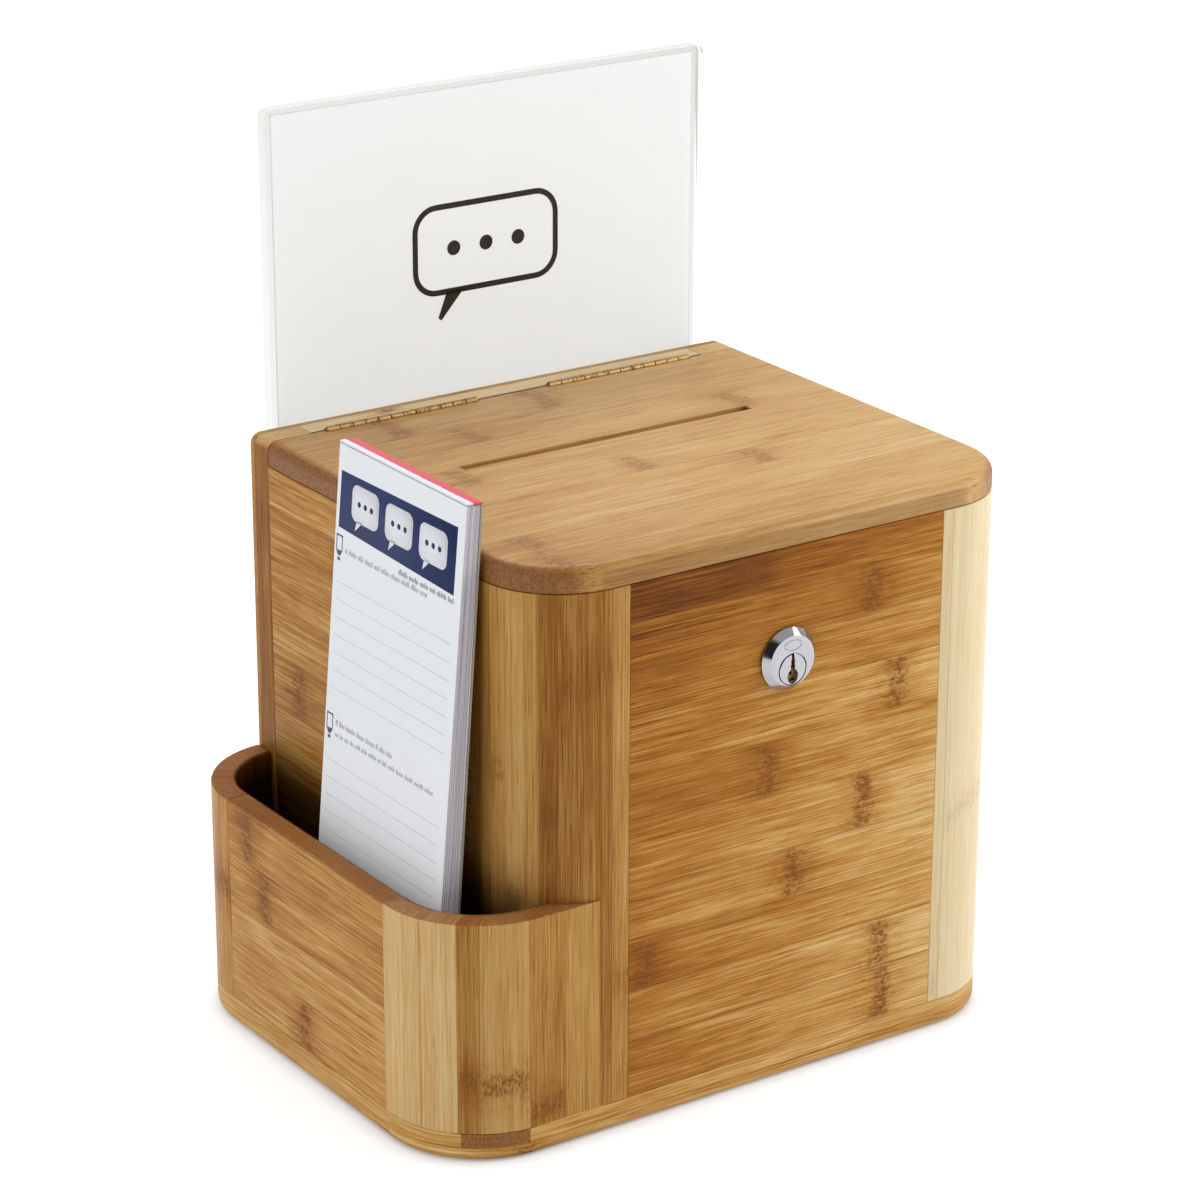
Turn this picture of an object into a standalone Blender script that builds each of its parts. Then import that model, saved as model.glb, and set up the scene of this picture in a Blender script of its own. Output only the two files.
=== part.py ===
"""A suggestion box in laminated bamboo, with a side pocket for a note pad and a clear sign holder.

Metres, +Z up. The front faces -Y and the pocket is on the -X side. The origin is at the middle
of the whole part's footprint, on the surface that it stands on.
"""

import math

import bmesh
import bpy

MM = 0.001

# Clearances
SEAT_GAP = 0.3 * MM
RUN_GAP = 0.1 * MM
OVERRUN = 2 * MM

# The wooden box over its outer faces
BOX_WIDTH = 230 * MM
BOX_DEPTH = 203.5 * MM
BOX_HEIGHT = 231 * MM
WALL = 10 * MM
BASE_THICK = 12 * MM
LID_THICK = 10 * MM
CORNER_RADIUS = 34 * MM
BACK_CORNER_RADIUS = 5 * MM
EDGE_ROUND = 4.5 * MM
BASE_ROUND = 4 * MM
LEFT_POST_RUN = 42.5 * MM
RIGHT_POST_RUN = 41.5 * MM
BACK_POST_WIDTH = 20 * MM
BACK_BOARD_THICK = 3 * MM
RAIL_BELOW_SIGN_SCREW = 7.9 * MM
SEAM_FROM_BACK = 14 * MM
SEAM_GAP = 0.8 * MM

# The pocket on the left side
POCKET_WIDTH = 39 * MM
POCKET_HEIGHT = 98 * MM
POCKET_FRONT_RADIUS = 41 * MM
POCKET_BACK_RADIUS = 40 * MM
POCKET_FRONT_RUN = 43.5 * MM
POCKET_BACK_RUN = 43 * MM

# The letter slot in the lid
SLOT_LENGTH = 137 * MM
SLOT_WIDTH = 4.4 * MM
SLOT_FROM_FRONT = 120.4 * MM

# The two strip hinges
HINGE_INSET = 26.8 * MM
KNUCKLE_PITCH = 5.9 * MM
KNUCKLE_COUNT = 12
KNUCKLE_RADIUS = 1.5 * MM
KNUCKLE_BORE = 0.95 * MM
KNUCKLE_GAP = 0.3 * MM
PIN_RADIUS = 0.87 * MM
LEAF_THICK = 0.7 * MM
LEAF_HEIGHT = 9 * MM
LEAF_FROM_AXIS = 0.15 * MM
LEAF_SHOULDER_GAP = 0.25 * MM
TAB_OVERLAP = 0.35 * MM
HINGE_SCREW_HEAD = 1.6 * MM
HINGE_SCREW_SHANK = 0.9 * MM
HINGE_SCREW_LENGTH = 8 * MM
HINGE_SCREW_DROP = 5.8 * MM
HINGE_SCREW_PLACE_SHARES = (0.16, 0.5, 0.84)

# The cam lock
LOCK_SHIFT = -0.5 * MM
LOCK_BELOW_TOP = 54.5 * MM
BEZEL_RADIUS = 12.5 * MM
BEZEL_FACE_RADIUS = 10.1 * MM
BEZEL_PROUD = 3.6 * MM
BEZEL_RIM = 0.8 * MM
BARREL_RADIUS = 9.75 * MM
BARREL_BEHIND_PANEL = 13 * MM
PLUG_DROP = 3.5 * MM
PLUG_FLANGE_RADIUS = 6.2 * MM
PLUG_FLANGE_THICK = 1.6 * MM
PLUG_RADIUS = 5 * MM
PLUG_PROUD = 3.8 * MM
KEYWAY_WIDTH = 1.9 * MM
KEYWAY_HEIGHT = 8.4 * MM
KEYWAY_EYE_RADIUS = 2.2 * MM
KEYWAY_EYE_DROP = 2.1 * MM
KEYWAY_DEPTH = 9 * MM
NUT_RADIUS = 13 * MM
NUT_THICK = 3 * MM
TAIL_SIZE = 6 * MM
CAM_REACH = 28 * MM
CAM_HALF_WIDTH = 5 * MM
CAM_HEEL = 6.5 * MM
CAM_THICK = 2 * MM
CAM_SCREW_HEAD = 4.3 * MM
CAM_SCREW_HEAD_THICK = 2 * MM
CAM_SCREW_SHANK = 1.3 * MM
CAM_SCREW_LENGTH = 6 * MM

# The keeper under the lid, which the turned cam holds down
KEEPER_FROM_PLUG = 15 * MM
KEEPER_WIDTH = 13 * MM
KEEPER_THICK = 1.5 * MM
KEEPER_LEG_BEHIND_CAM = 2.1 * MM
KEEPER_LIP_AHEAD_OF_CAM = 0.4 * MM
KEEPER_LIP_UNDER_CAM = 0.5 * MM
KEEPER_FLANGE_DEPTH = 13 * MM
KEEPER_SCREW_HEAD = 2.6 * MM
KEEPER_SCREW_HEAD_THICK = 1.4 * MM
KEEPER_SCREW_SHANK = 1.2 * MM
KEEPER_SCREW_LENGTH = 7.5 * MM
KEEPER_SCREW_PLACE_SHARES = (0.25, 0.75)

# The clear sign holder on the back, with its sheet
SIGN_WIDTH = 209 * MM
SIGN_WALL = 2 * MM
SIGN_SLOT = 1.5 * MM
SIGN_CORNER_RADIUS = 4 * MM
SHEET_WIDTH = 201 * MM
SHEET_HEIGHT = 150 * MM
SHEET_THICK = 0.5 * MM
SHEET_BELOW_SIGN_TOP = 3 * MM
SIGN_SCREW_INSET = 34.5 * MM
SIGN_SCREW_DROP = 26.1 * MM
SIGN_BELOW_SCREW = 8.9 * MM
SIGN_SCREW_HEAD = 4 * MM
SIGN_SCREW_HEAD_THICK = 2 * MM
SIGN_SCREW_SHANK = 1.8 * MM
SIGN_SCREW_INTO_RAIL = 7 * MM

# The note pad that leans in the pocket
PAD_WIDTH = 89 * MM
PAD_LENGTH = 240 * MM
PAD_FOOT_THICK = 9.7 * MM
PAD_TOP_THICK = 7 * MM
PAD_FROM_FRONT = 32 * MM
PAD_BACKING_THICK = 0.8 * MM
PAD_BINDING_THICK = 0.8 * MM

# How finely round shapes are cut
CORNER_STEPS = 8
ROUND_STEPS = 3
SCREW_SIDES = 12
LOCK_SIDES = 32
SHARP_ANGLE = math.radians(32)

# Places worked out from the sizes above
SIGN_THICK = 2 * SIGN_WALL + SIGN_SLOT
OVERALL_WIDTH = POCKET_WIDTH + BOX_WIDTH
OVERALL_DEPTH = PLUG_PROUD + BOX_DEPTH + SEAT_GAP + SIGN_THICK + SEAT_GAP + SIGN_SCREW_HEAD_THICK
X_POCKET = -OVERALL_WIDTH / 2
X_LEFT = X_POCKET + POCKET_WIDTH
X_RIGHT = X_LEFT + BOX_WIDTH
X_MIDDLE = (X_LEFT + X_RIGHT) / 2
Y_FRONT = -OVERALL_DEPTH / 2 + PLUG_PROUD
Y_INSIDE = Y_FRONT + WALL
Y_BACK = Y_FRONT + BOX_DEPTH
Y_BOARD = Y_BACK - BACK_BOARD_THICK
Y_HINGE = Y_BACK - SEAM_FROM_BACK
Y_RAIL = Y_HINGE + SEAM_GAP / 2
Y_LID_BACK = Y_HINGE - SEAM_GAP / 2
Z_LID = BOX_HEIGHT - LID_THICK
Z_WALL_TOP = Z_LID - SEAT_GAP
X_LOCK = X_MIDDLE + LOCK_SHIFT
Z_LOCK = BOX_HEIGHT - LOCK_BELOW_TOP
Z_PLUG = Z_LOCK - PLUG_DROP
Y_BARREL_END = Y_INSIDE + BARREL_BEHIND_PANEL
Y_CAM = Y_BARREL_END + SEAT_GAP + RUN_GAP
Y_CAM_BACK = Y_CAM + CAM_THICK
Y_SIGN = Y_BACK + SEAT_GAP
Y_SIGN_BACK = Y_SIGN + SIGN_THICK
Z_SIGN_SCREW = BOX_HEIGHT - SIGN_SCREW_DROP
Z_RAIL = Z_SIGN_SCREW - RAIL_BELOW_SIGN_SCREW
Z_SIGN = Z_SIGN_SCREW - SIGN_BELOW_SCREW
Z_SHEET = Z_SIGN_SCREW + SIGN_SCREW_SHANK + SEAT_GAP
Z_SIGN_TOP = Z_SHEET + SHEET_HEIGHT + SHEET_BELOW_SIGN_TOP

# Colour, roughness and metallic value of each finish
FINISHES = {
    "bamboo": ((0.62, 0.37, 0.15), 0.42, 0.0),
    "bamboo_pale": ((0.74, 0.52, 0.27), 0.42, 0.0),
    "bamboo_amber": ((0.55, 0.29, 0.09), 0.42, 0.0),
    "chrome": ((0.78, 0.78, 0.8), 0.16, 1.0),
    "zinc": ((0.6, 0.6, 0.6), 0.35, 1.0),
    "brass": ((0.55, 0.4, 0.2), 0.4, 1.0),
    "acrylic": ((0.88, 0.92, 0.9), 0.08, 0.0),
    "sheet": ((0.87, 0.87, 0.85), 0.7, 0.0),
    "paper": ((0.8, 0.8, 0.84), 0.75, 0.0),
    "cardboard": ((0.45, 0.38, 0.3), 0.85, 0.0),
    "binding": ((0.75, 0.15, 0.2), 0.6, 0.0),
}


def clear_scene():
    for thing in list(bpy.data.objects):
        bpy.data.objects.remove(thing, do_unlink=True)


def arc(centre, radius, start, end, steps=CORNER_STEPS):
    """Points along a round corner, from one angle to another in degrees."""
    points = []
    for step in range(steps + 1):
        angle = math.radians(start + (end - start) * step / steps)
        points.append((centre[0] + radius * math.cos(angle), centre[1] + radius * math.sin(angle)))
    return points


def rectangle(low, high):
    return [(low[0], low[1]), (high[0], low[1]), (high[0], high[1]), (low[0], high[1])]


def along(axis, height, point):
    """A flat outline's point, set at a height along the axis that the outline lies across."""
    first, second = point
    spots = {"X": (height, first, second), "Y": (first, height, second), "Z": (first, second, height)}
    return spots[axis]


def loft(rings, closed=False):
    """A closed solid through rings of points, capped at both ends or closed on itself."""
    solid = bmesh.new()
    rows = [[solid.verts.new(point) for point in ring] for ring in rings]
    pairs = list(zip(rows, rows[1:]))
    if closed:
        pairs.append((rows[-1], rows[0]))
    else:
        solid.faces.new(list(reversed(rows[0])))
        solid.faces.new(rows[-1])
    for lower, upper in pairs:
        for index in range(len(lower)):
            following = (index + 1) % len(lower)
            solid.faces.new((lower[index], lower[following], upper[following], upper[index]))
    bmesh.ops.recalc_face_normals(solid, faces=solid.faces)
    return solid


def prism(outline, low, high, axis="Z"):
    return loft([[along(axis, height, point) for point in outline] for height in (low, high)])


def block(low, high):
    return prism(rectangle(low[:2], high[:2]), low[2], high[2])


def turned(profile, centre, axis, sides, closed=False):
    """A solid turned about an axis, from a profile of radii and places along that axis."""
    rings = []
    for radius, place in profile:
        ring = []
        for side in range(sides):
            angle = 2 * math.pi * side / sides
            spot = (centre[0] + radius * math.cos(angle), centre[1] + radius * math.sin(angle))
            ring.append(along(axis, place, spot))
        rings.append(ring)
    return loft(rings, closed)


def rod(radius, low, high, centre, axis, sides):
    return turned([(radius, low), (radius, high)], centre, axis, sides)


def tube(radius, bore, low, high, centre, axis, sides):
    profile = [(radius, low), (radius, high), (bore, high), (bore, low)]
    return turned(profile, centre, axis, sides, closed=True)


def together(solids):
    """Several separate solids in one mesh."""
    whole = bmesh.new()
    for solid in solids:
        mesh = bpy.data.meshes.new("solid")
        solid.to_mesh(mesh)
        solid.free()
        whole.from_mesh(mesh)
        bpy.data.meshes.remove(mesh)
    return whole


def finish(name, kind):
    colour, roughness, metallic = FINISHES[kind]
    material = bpy.data.materials.new(name)
    material.use_nodes = True
    shader = material.node_tree.nodes["Principled BSDF"]
    shader.inputs["Base Color"].default_value = (*colour, 1)
    shader.inputs["Roughness"].default_value = roughness
    shader.inputs["Metallic"].default_value = metallic
    material.diffuse_color = (*colour, 1)
    return material


def axis_empty(name, place):
    """An empty on a joint's axis, which carries the pieces that move together."""
    empty = bpy.data.objects.new(name, None)
    empty.location = place
    bpy.context.collection.objects.link(empty)
    return empty


def add(name, solid, kind, carrier=None):
    """Make an object of a solid that is drawn in world places, under its carrier if it has one."""
    mesh = bpy.data.meshes.new(name)
    if carrier:
        bmesh.ops.translate(solid, vec=-carrier.location, verts=solid.verts)
    solid.to_mesh(mesh)
    solid.free()
    mesh.shade_smooth()
    mesh.set_sharp_from_angle(angle=SHARP_ANGLE)
    mesh.materials.append(finish(name, kind))
    piece = bpy.data.objects.new(name, mesh)
    piece.parent = carrier
    bpy.context.collection.objects.link(piece)
    return piece


def tool(name, solid):
    """A shape that only cuts or joins others."""
    mesh = bpy.data.meshes.new(name)
    solid.to_mesh(mesh)
    solid.free()
    shape = bpy.data.objects.new(name, mesh)
    shape.display_type = "WIRE"
    shape.hide_render = True
    bpy.context.collection.objects.link(shape)
    return shape


def combine(piece, shape, operation="DIFFERENCE"):
    boolean = piece.modifiers.new(shape.name, "BOOLEAN")
    boolean.operation = operation
    boolean.solver = "EXACT"
    boolean.object = shape


def rounded_levels(side, face, radius):
    """Heights and insets that carry a board's side round to its flat face."""
    way = 1 if face > side else -1
    levels = [(side, 0)]
    for step in range(ROUND_STEPS + 1):
        angle = math.pi / 2 * step / ROUND_STEPS
        levels.append((face - way * radius * (1 - math.sin(angle)), radius * (1 - math.cos(angle))))
    return levels


def board(outline_at, levels):
    return loft([[along("Z", height, point) for point in outline_at(inset)] for height, inset in levels])


def base_outline(inset):
    """The footprint of the box and its pocket, drawn in by an inset."""
    points = []
    corners = (
        (X_POCKET, Y_FRONT, POCKET_FRONT_RADIUS, 180),
        (X_RIGHT, Y_FRONT, CORNER_RADIUS, 270),
        (X_RIGHT, Y_BACK, BACK_CORNER_RADIUS, 0),
        (X_POCKET, Y_BACK, POCKET_BACK_RADIUS, 90),
    )
    for x, y, radius, start in corners:
        centre = (x + math.copysign(radius, -x), y + math.copysign(radius, -y))
        points += arc(centre, radius - inset, start, start + 90)
    return points


def bent_wall(corner, toward, radius, run):
    """The section of a wall that turns an outer corner of the box and runs on both ways."""
    inner = radius - WALL
    points = [(0, run)]
    points += arc((radius, radius), radius, 180, 270)
    points += [(run, 0), (run, WALL)]
    points += arc((radius, radius), inner, 270, 180)
    points += [(WALL, run)]
    return [(corner[0] + toward[0] * x, corner[1] + toward[1] * y) for x, y in points]


def build_base():
    levels = rounded_levels(BASE_THICK, 0, BASE_ROUND)
    add("base_board", board(base_outline, levels), "bamboo")


def build_walls():
    """The front panel between its rounded posts, the sides and the back."""
    panel_low = (X_LEFT + LEFT_POST_RUN, Y_FRONT, BASE_THICK)
    panel_high = (X_RIGHT - RIGHT_POST_RUN, Y_INSIDE, Z_WALL_TOP)
    panel = add("front_panel", block(panel_low, panel_high), "bamboo_amber")
    hole_radius = BARREL_RADIUS + SEAT_GAP
    hole_ends = (Y_FRONT - OVERRUN, Y_INSIDE + OVERRUN)
    hole = rod(hole_radius, *hole_ends, (X_LOCK, Z_LOCK), "Y", LOCK_SIDES)
    combine(panel, tool("lock_hole_cutter", hole))

    left = bent_wall((X_LEFT, Y_FRONT), (1, 1), CORNER_RADIUS, LEFT_POST_RUN)
    add("front_left_post", prism(left, BASE_THICK, Z_WALL_TOP), "bamboo")
    right = bent_wall((X_RIGHT, Y_FRONT), (-1, 1), CORNER_RADIUS, RIGHT_POST_RUN)
    add("front_right_post", prism(right, BASE_THICK, Z_WALL_TOP), "bamboo_pale")

    left_low = (X_LEFT, Y_FRONT + LEFT_POST_RUN, BASE_THICK)
    left_high = (X_LEFT + WALL, Y_RAIL, Z_WALL_TOP)
    add("left_side_panel", block(left_low, left_high), "bamboo")
    right_low = (X_RIGHT - WALL, Y_FRONT + RIGHT_POST_RUN, BASE_THICK)
    right_high = (X_RIGHT, Y_RAIL, Z_WALL_TOP)
    add("right_side_panel", block(right_low, right_high), "bamboo")


def back_post_outline(outer, toward):
    """A back post seen from behind, with its outer top corner rounded."""
    centre = (outer + toward * EDGE_ROUND, BOX_HEIGHT - EDGE_ROUND)
    start = 180 if toward > 0 else 0
    inner = outer + toward * BACK_POST_WIDTH
    points = [(inner, BASE_THICK), (outer, BASE_THICK)]
    points += arc(centre, EDGE_ROUND, start, 90, ROUND_STEPS)
    points += [(inner, BOX_HEIGHT)]
    return points


def sign_screw_places():
    from_middle = SIGN_WIDTH / 2 - SIGN_SCREW_INSET
    return [X_MIDDLE - from_middle, X_MIDDLE + from_middle]


def sign_screw_holes(name):
    deepest = Y_BOARD - SIGN_SCREW_INTO_RAIL - SEAT_GAP
    radius = SIGN_SCREW_SHANK + SEAT_GAP
    holes = []
    for x in sign_screw_places():
        ends = (deepest, Y_SIGN_BACK + OVERRUN)
        holes.append(rod(radius, *ends, (x, Z_SIGN_SCREW), "Y", SCREW_SIDES))
    return tool(name, together(holes))


def build_back(hinge_cutters, screw_cutter):
    """The back posts, the rail that carries the hinges, and the thin board over them."""
    left = back_post_outline(X_LEFT, 1)
    add("back_left_post", prism(left, Y_RAIL, Y_BOARD, "Y"), "bamboo")
    right = back_post_outline(X_RIGHT, -1)
    add("back_right_post", prism(right, Y_RAIL, Y_BOARD, "Y"), "bamboo")

    rail_low = (X_LEFT + BACK_POST_WIDTH, Y_RAIL, Z_RAIL)
    rail_high = (X_RIGHT - BACK_POST_WIDTH, Y_BOARD, BOX_HEIGHT)
    rail = add("hinge_rail", block(rail_low, rail_high), "bamboo_pale")
    for cutter in hinge_cutters:
        combine(rail, cutter)
    combine(rail, screw_cutter)

    outline = [(X_RIGHT, BASE_THICK)]
    outline += arc((X_RIGHT - EDGE_ROUND, BOX_HEIGHT - EDGE_ROUND), EDGE_ROUND, 0, 90, ROUND_STEPS)
    outline += arc((X_LEFT + EDGE_ROUND, BOX_HEIGHT - EDGE_ROUND), EDGE_ROUND, 90, 180, ROUND_STEPS)
    outline += [(X_LEFT, BASE_THICK)]
    back = add("back_board", prism(outline, Y_BOARD, Y_BACK, "Y"), "bamboo")
    combine(back, screw_cutter)


def pocket_front_outline():
    """The pocket's front corner, which tapers out against the box's own rounded post."""
    pocket_centre = (X_POCKET + POCKET_FRONT_RADIUS, Y_FRONT + POCKET_FRONT_RADIUS)
    post_centre = (X_LEFT + CORNER_RADIUS, Y_FRONT + CORNER_RADIUS)
    clear_radius = CORNER_RADIUS + SEAT_GAP
    tip = 270 - math.degrees(math.acos(CORNER_RADIUS / clear_radius))
    inside = 270 - math.degrees(math.acos((CORNER_RADIUS - WALL) / clear_radius))
    points = [(X_POCKET, Y_FRONT + POCKET_FRONT_RUN)]
    points += arc(pocket_centre, POCKET_FRONT_RADIUS, 180, 270)
    points += arc(post_centre, clear_radius, tip, inside)
    points += arc(pocket_centre, POCKET_FRONT_RADIUS - WALL, 270, 180)
    points += [(X_POCKET + WALL, Y_FRONT + POCKET_FRONT_RUN)]
    return points


def pocket_back_outline():
    """The pocket's back corner, which ends against the box's left side."""
    centre = (X_POCKET + POCKET_BACK_RADIUS, Y_BACK - POCKET_BACK_RADIUS)
    reach = centre[0] - (X_LEFT - SEAT_GAP)
    inner_radius = POCKET_BACK_RADIUS - WALL
    outer_end = 180 - math.degrees(math.acos(reach / POCKET_BACK_RADIUS))
    inner_end = 180 - math.degrees(math.acos(reach / inner_radius))
    points = [(X_POCKET, Y_BACK - POCKET_BACK_RUN)]
    points += arc(centre, POCKET_BACK_RADIUS, 180, outer_end)
    points += arc(centre, inner_radius, inner_end, 180)
    points += [(X_POCKET + WALL, Y_BACK - POCKET_BACK_RUN)]
    return points


def build_pocket():
    low = (X_POCKET, Y_FRONT + POCKET_FRONT_RUN, BASE_THICK)
    high = (X_POCKET + WALL, Y_BACK - POCKET_BACK_RUN, POCKET_HEIGHT)
    add("pocket_side_panel", block(low, high), "bamboo_amber")
    add("pocket_front_corner", prism(pocket_front_outline(), BASE_THICK, POCKET_HEIGHT), "bamboo")
    add("pocket_back_corner", prism(pocket_back_outline(), BASE_THICK, POCKET_HEIGHT), "bamboo")


def lid_outline(inset):
    """The lid's front and sides, drawn in by an inset, with its back edge at the seam."""
    radius = CORNER_RADIUS - inset
    points = [(X_LEFT + inset, Y_LID_BACK)]
    points += arc((X_LEFT + CORNER_RADIUS, Y_FRONT + CORNER_RADIUS), radius, 180, 270)
    points += arc((X_RIGHT - CORNER_RADIUS, Y_FRONT + CORNER_RADIUS), radius, 270, 360)
    points += [(X_RIGHT - inset, Y_LID_BACK)]
    return points


def keeper_places():
    """Where the keeper's faces lie, from the turned cam that they clear."""
    return {
        "left": X_LOCK + KEEPER_FROM_PLUG,
        "lip_front": Y_CAM - KEEPER_LIP_AHEAD_OF_CAM,
        "leg_front": Y_CAM_BACK + KEEPER_LEG_BEHIND_CAM,
        "leg_back": Y_CAM_BACK + KEEPER_LEG_BEHIND_CAM + KEEPER_THICK,
        "lip_top": Z_PLUG - CAM_HALF_WIDTH - KEEPER_LIP_UNDER_CAM,
        "flange_top": Z_LID - SEAT_GAP,
    }


def keeper_screw_spots():
    place = keeper_places()
    y = place["leg_back"] + KEEPER_FLANGE_DEPTH / 2
    return [(place["left"] + share * KEEPER_WIDTH, y) for share in KEEPER_SCREW_PLACE_SHARES]


def keeper_screw_holes():
    top = Z_LID + KEEPER_SCREW_LENGTH
    bottom = Z_LID - KEEPER_THICK - OVERRUN
    radius = KEEPER_SCREW_SHANK + SEAT_GAP
    holes = [rod(radius, bottom, top, spot, "Z", SCREW_SIDES) for spot in keeper_screw_spots()]
    return tool("keeper_screw_cutter", together(holes))


def build_lid(carrier, hinge_cutters):
    """The lid with its letter slot, and the keeper that is screwed under it."""
    levels = rounded_levels(Z_LID, BOX_HEIGHT, EDGE_ROUND)
    lid = add("lid_board", board(lid_outline, levels), "bamboo_pale", carrier)
    slot_y = Y_FRONT + SLOT_FROM_FRONT
    slot_low = (X_MIDDLE - SLOT_LENGTH / 2, slot_y - SLOT_WIDTH / 2, Z_LID - OVERRUN)
    slot_high = (X_MIDDLE + SLOT_LENGTH / 2, slot_y + SLOT_WIDTH / 2, BOX_HEIGHT + OVERRUN)
    combine(lid, tool("slot_cutter", block(slot_low, slot_high)))
    for cutter in hinge_cutters:
        combine(lid, cutter)

    place = keeper_places()
    flange_bottom = place["flange_top"] - KEEPER_THICK
    flange_back = place["leg_back"] + KEEPER_FLANGE_DEPTH
    lip_bottom = place["lip_top"] - KEEPER_THICK
    section = [
        (place["lip_front"], lip_bottom),
        (place["leg_back"], lip_bottom),
        (place["leg_back"], flange_bottom),
        (flange_back, flange_bottom),
        (flange_back, place["flange_top"]),
        (place["leg_front"], place["flange_top"]),
        (place["leg_front"], place["lip_top"]),
        (place["lip_front"], place["lip_top"]),
    ]
    body = prism(section, place["left"], place["left"] + KEEPER_WIDTH, "X")
    keeper = add("lid_keeper", body, "zinc", carrier)
    holes = keeper_screw_holes()
    combine(lid, holes)
    combine(keeper, holes)

    head_top = flange_bottom - SEAT_GAP
    profile = [
        (KEEPER_SCREW_HEAD, head_top - KEEPER_SCREW_HEAD_THICK),
        (KEEPER_SCREW_HEAD, head_top),
        (KEEPER_SCREW_SHANK, head_top),
        (KEEPER_SCREW_SHANK, Z_LID + KEEPER_SCREW_LENGTH - SEAT_GAP),
    ]
    for count, spot in enumerate(keeper_screw_spots(), 1):
        add(f"keeper_screw_{count}", turned(profile, spot, "Z", SCREW_SIDES), "zinc", carrier)


def hinge_starts():
    length = KNUCKLE_PITCH * KNUCKLE_COUNT
    return {"left": X_LEFT + HINGE_INSET, "right": X_RIGHT - HINGE_INSET - length}


def hinge_recess(start, way):
    """The recess that one leaf and its half of the knuckles lie in, on one side of the seam."""
    leaf_face = Y_HINGE + way * (LEAF_FROM_AXIS + LEAF_THICK + SEAT_GAP)
    knuckle_face = Y_HINGE + way * (KNUCKLE_RADIUS + SEAT_GAP)
    open_side = Y_HINGE - way * OVERRUN
    leaf_bottom = BOX_HEIGHT - LEAF_HEIGHT - SEAT_GAP
    knuckle_bottom = BOX_HEIGHT - KNUCKLE_RADIUS - SEAT_GAP
    top = BOX_HEIGHT + OVERRUN
    section = [
        (open_side, leaf_bottom),
        (leaf_face, leaf_bottom),
        (leaf_face, knuckle_bottom),
        (knuckle_face, knuckle_bottom),
        (knuckle_face, top),
        (open_side, top),
    ]
    end = start + KNUCKLE_PITCH * KNUCKLE_COUNT
    return prism(section, start - SEAT_GAP, end + SEAT_GAP, "X")


def hinge_screw_spots(start):
    z = BOX_HEIGHT - HINGE_SCREW_DROP
    length = KNUCKLE_PITCH * KNUCKLE_COUNT
    return [(start + share * length, z) for share in HINGE_SCREW_PLACE_SHARES]


def hinge_screws(name, start, way, carrier=None):
    head = Y_HINGE + way * (LEAF_FROM_AXIS + RUN_GAP)
    neck = head + way * LEAF_THICK
    end = head + way * HINGE_SCREW_LENGTH
    profile = [(HINGE_SCREW_HEAD, head), (HINGE_SCREW_SHANK, neck), (HINGE_SCREW_SHANK, end)]
    for count, spot in enumerate(hinge_screw_spots(start), 1):
        add(f"{name}_screw_{count}", turned(profile, spot, "Y", SCREW_SIDES), "brass", carrier)


def hinge_screw_holes(start, way):
    """Countersunk holes that clear the screws in the leaf and in the wood behind it."""
    face = Y_HINGE + way * LEAF_FROM_AXIS
    neck = face + way * LEAF_THICK
    end = face + way * (HINGE_SCREW_LENGTH + SEAT_GAP + RUN_GAP)
    head_radius = HINGE_SCREW_HEAD + SEAT_GAP
    shank_radius = HINGE_SCREW_SHANK + SEAT_GAP
    profile = [
        (head_radius, face - way * LEAF_FROM_AXIS),
        (head_radius, face),
        (shank_radius, neck),
        (shank_radius, end),
    ]
    return [turned(profile, spot, "Y", SCREW_SIDES) for spot in hinge_screw_spots(start)]


def knuckle_spans(start, first):
    """Where every second knuckle begins and ends, from the first one of this leaf."""
    spans = []
    for index in range(first, KNUCKLE_COUNT, 2):
        low = start + index * KNUCKLE_PITCH + KNUCKLE_GAP / 2
        spans.append((low, low + KNUCKLE_PITCH - KNUCKLE_GAP))
    return spans


def leaf(name, start, way, first, screw_holes, carrier=None):
    """One hinge leaf: a plate with a tab to each of its knuckles."""
    shoulder = BOX_HEIGHT - KNUCKLE_RADIUS - LEAF_SHOULDER_GAP
    tab_top = BOX_HEIGHT - KNUCKLE_RADIUS + TAB_OVERLAP
    bottom = BOX_HEIGHT - LEAF_HEIGHT
    end = start + KNUCKLE_PITCH * KNUCKLE_COUNT
    outline = [(start, bottom), (end, bottom), (end, shoulder)]
    spans = knuckle_spans(start, first)
    for low, high in reversed(spans):
        outline += [(high, shoulder), (high, tab_top), (low, tab_top), (low, shoulder)]
    outline += [(start, shoulder)]
    near = Y_HINGE + way * LEAF_FROM_AXIS
    plate = add(name, prism(outline, near, near + way * LEAF_THICK, "Y"), "brass", carrier)
    axis = (Y_HINGE, BOX_HEIGHT)
    knuckles = [tube(KNUCKLE_RADIUS, KNUCKLE_BORE, *span, axis, "X", SCREW_SIDES) for span in spans]
    combine(plate, tool(name + "_knuckles", together(knuckles)), "UNION")
    combine(plate, screw_holes)


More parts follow.
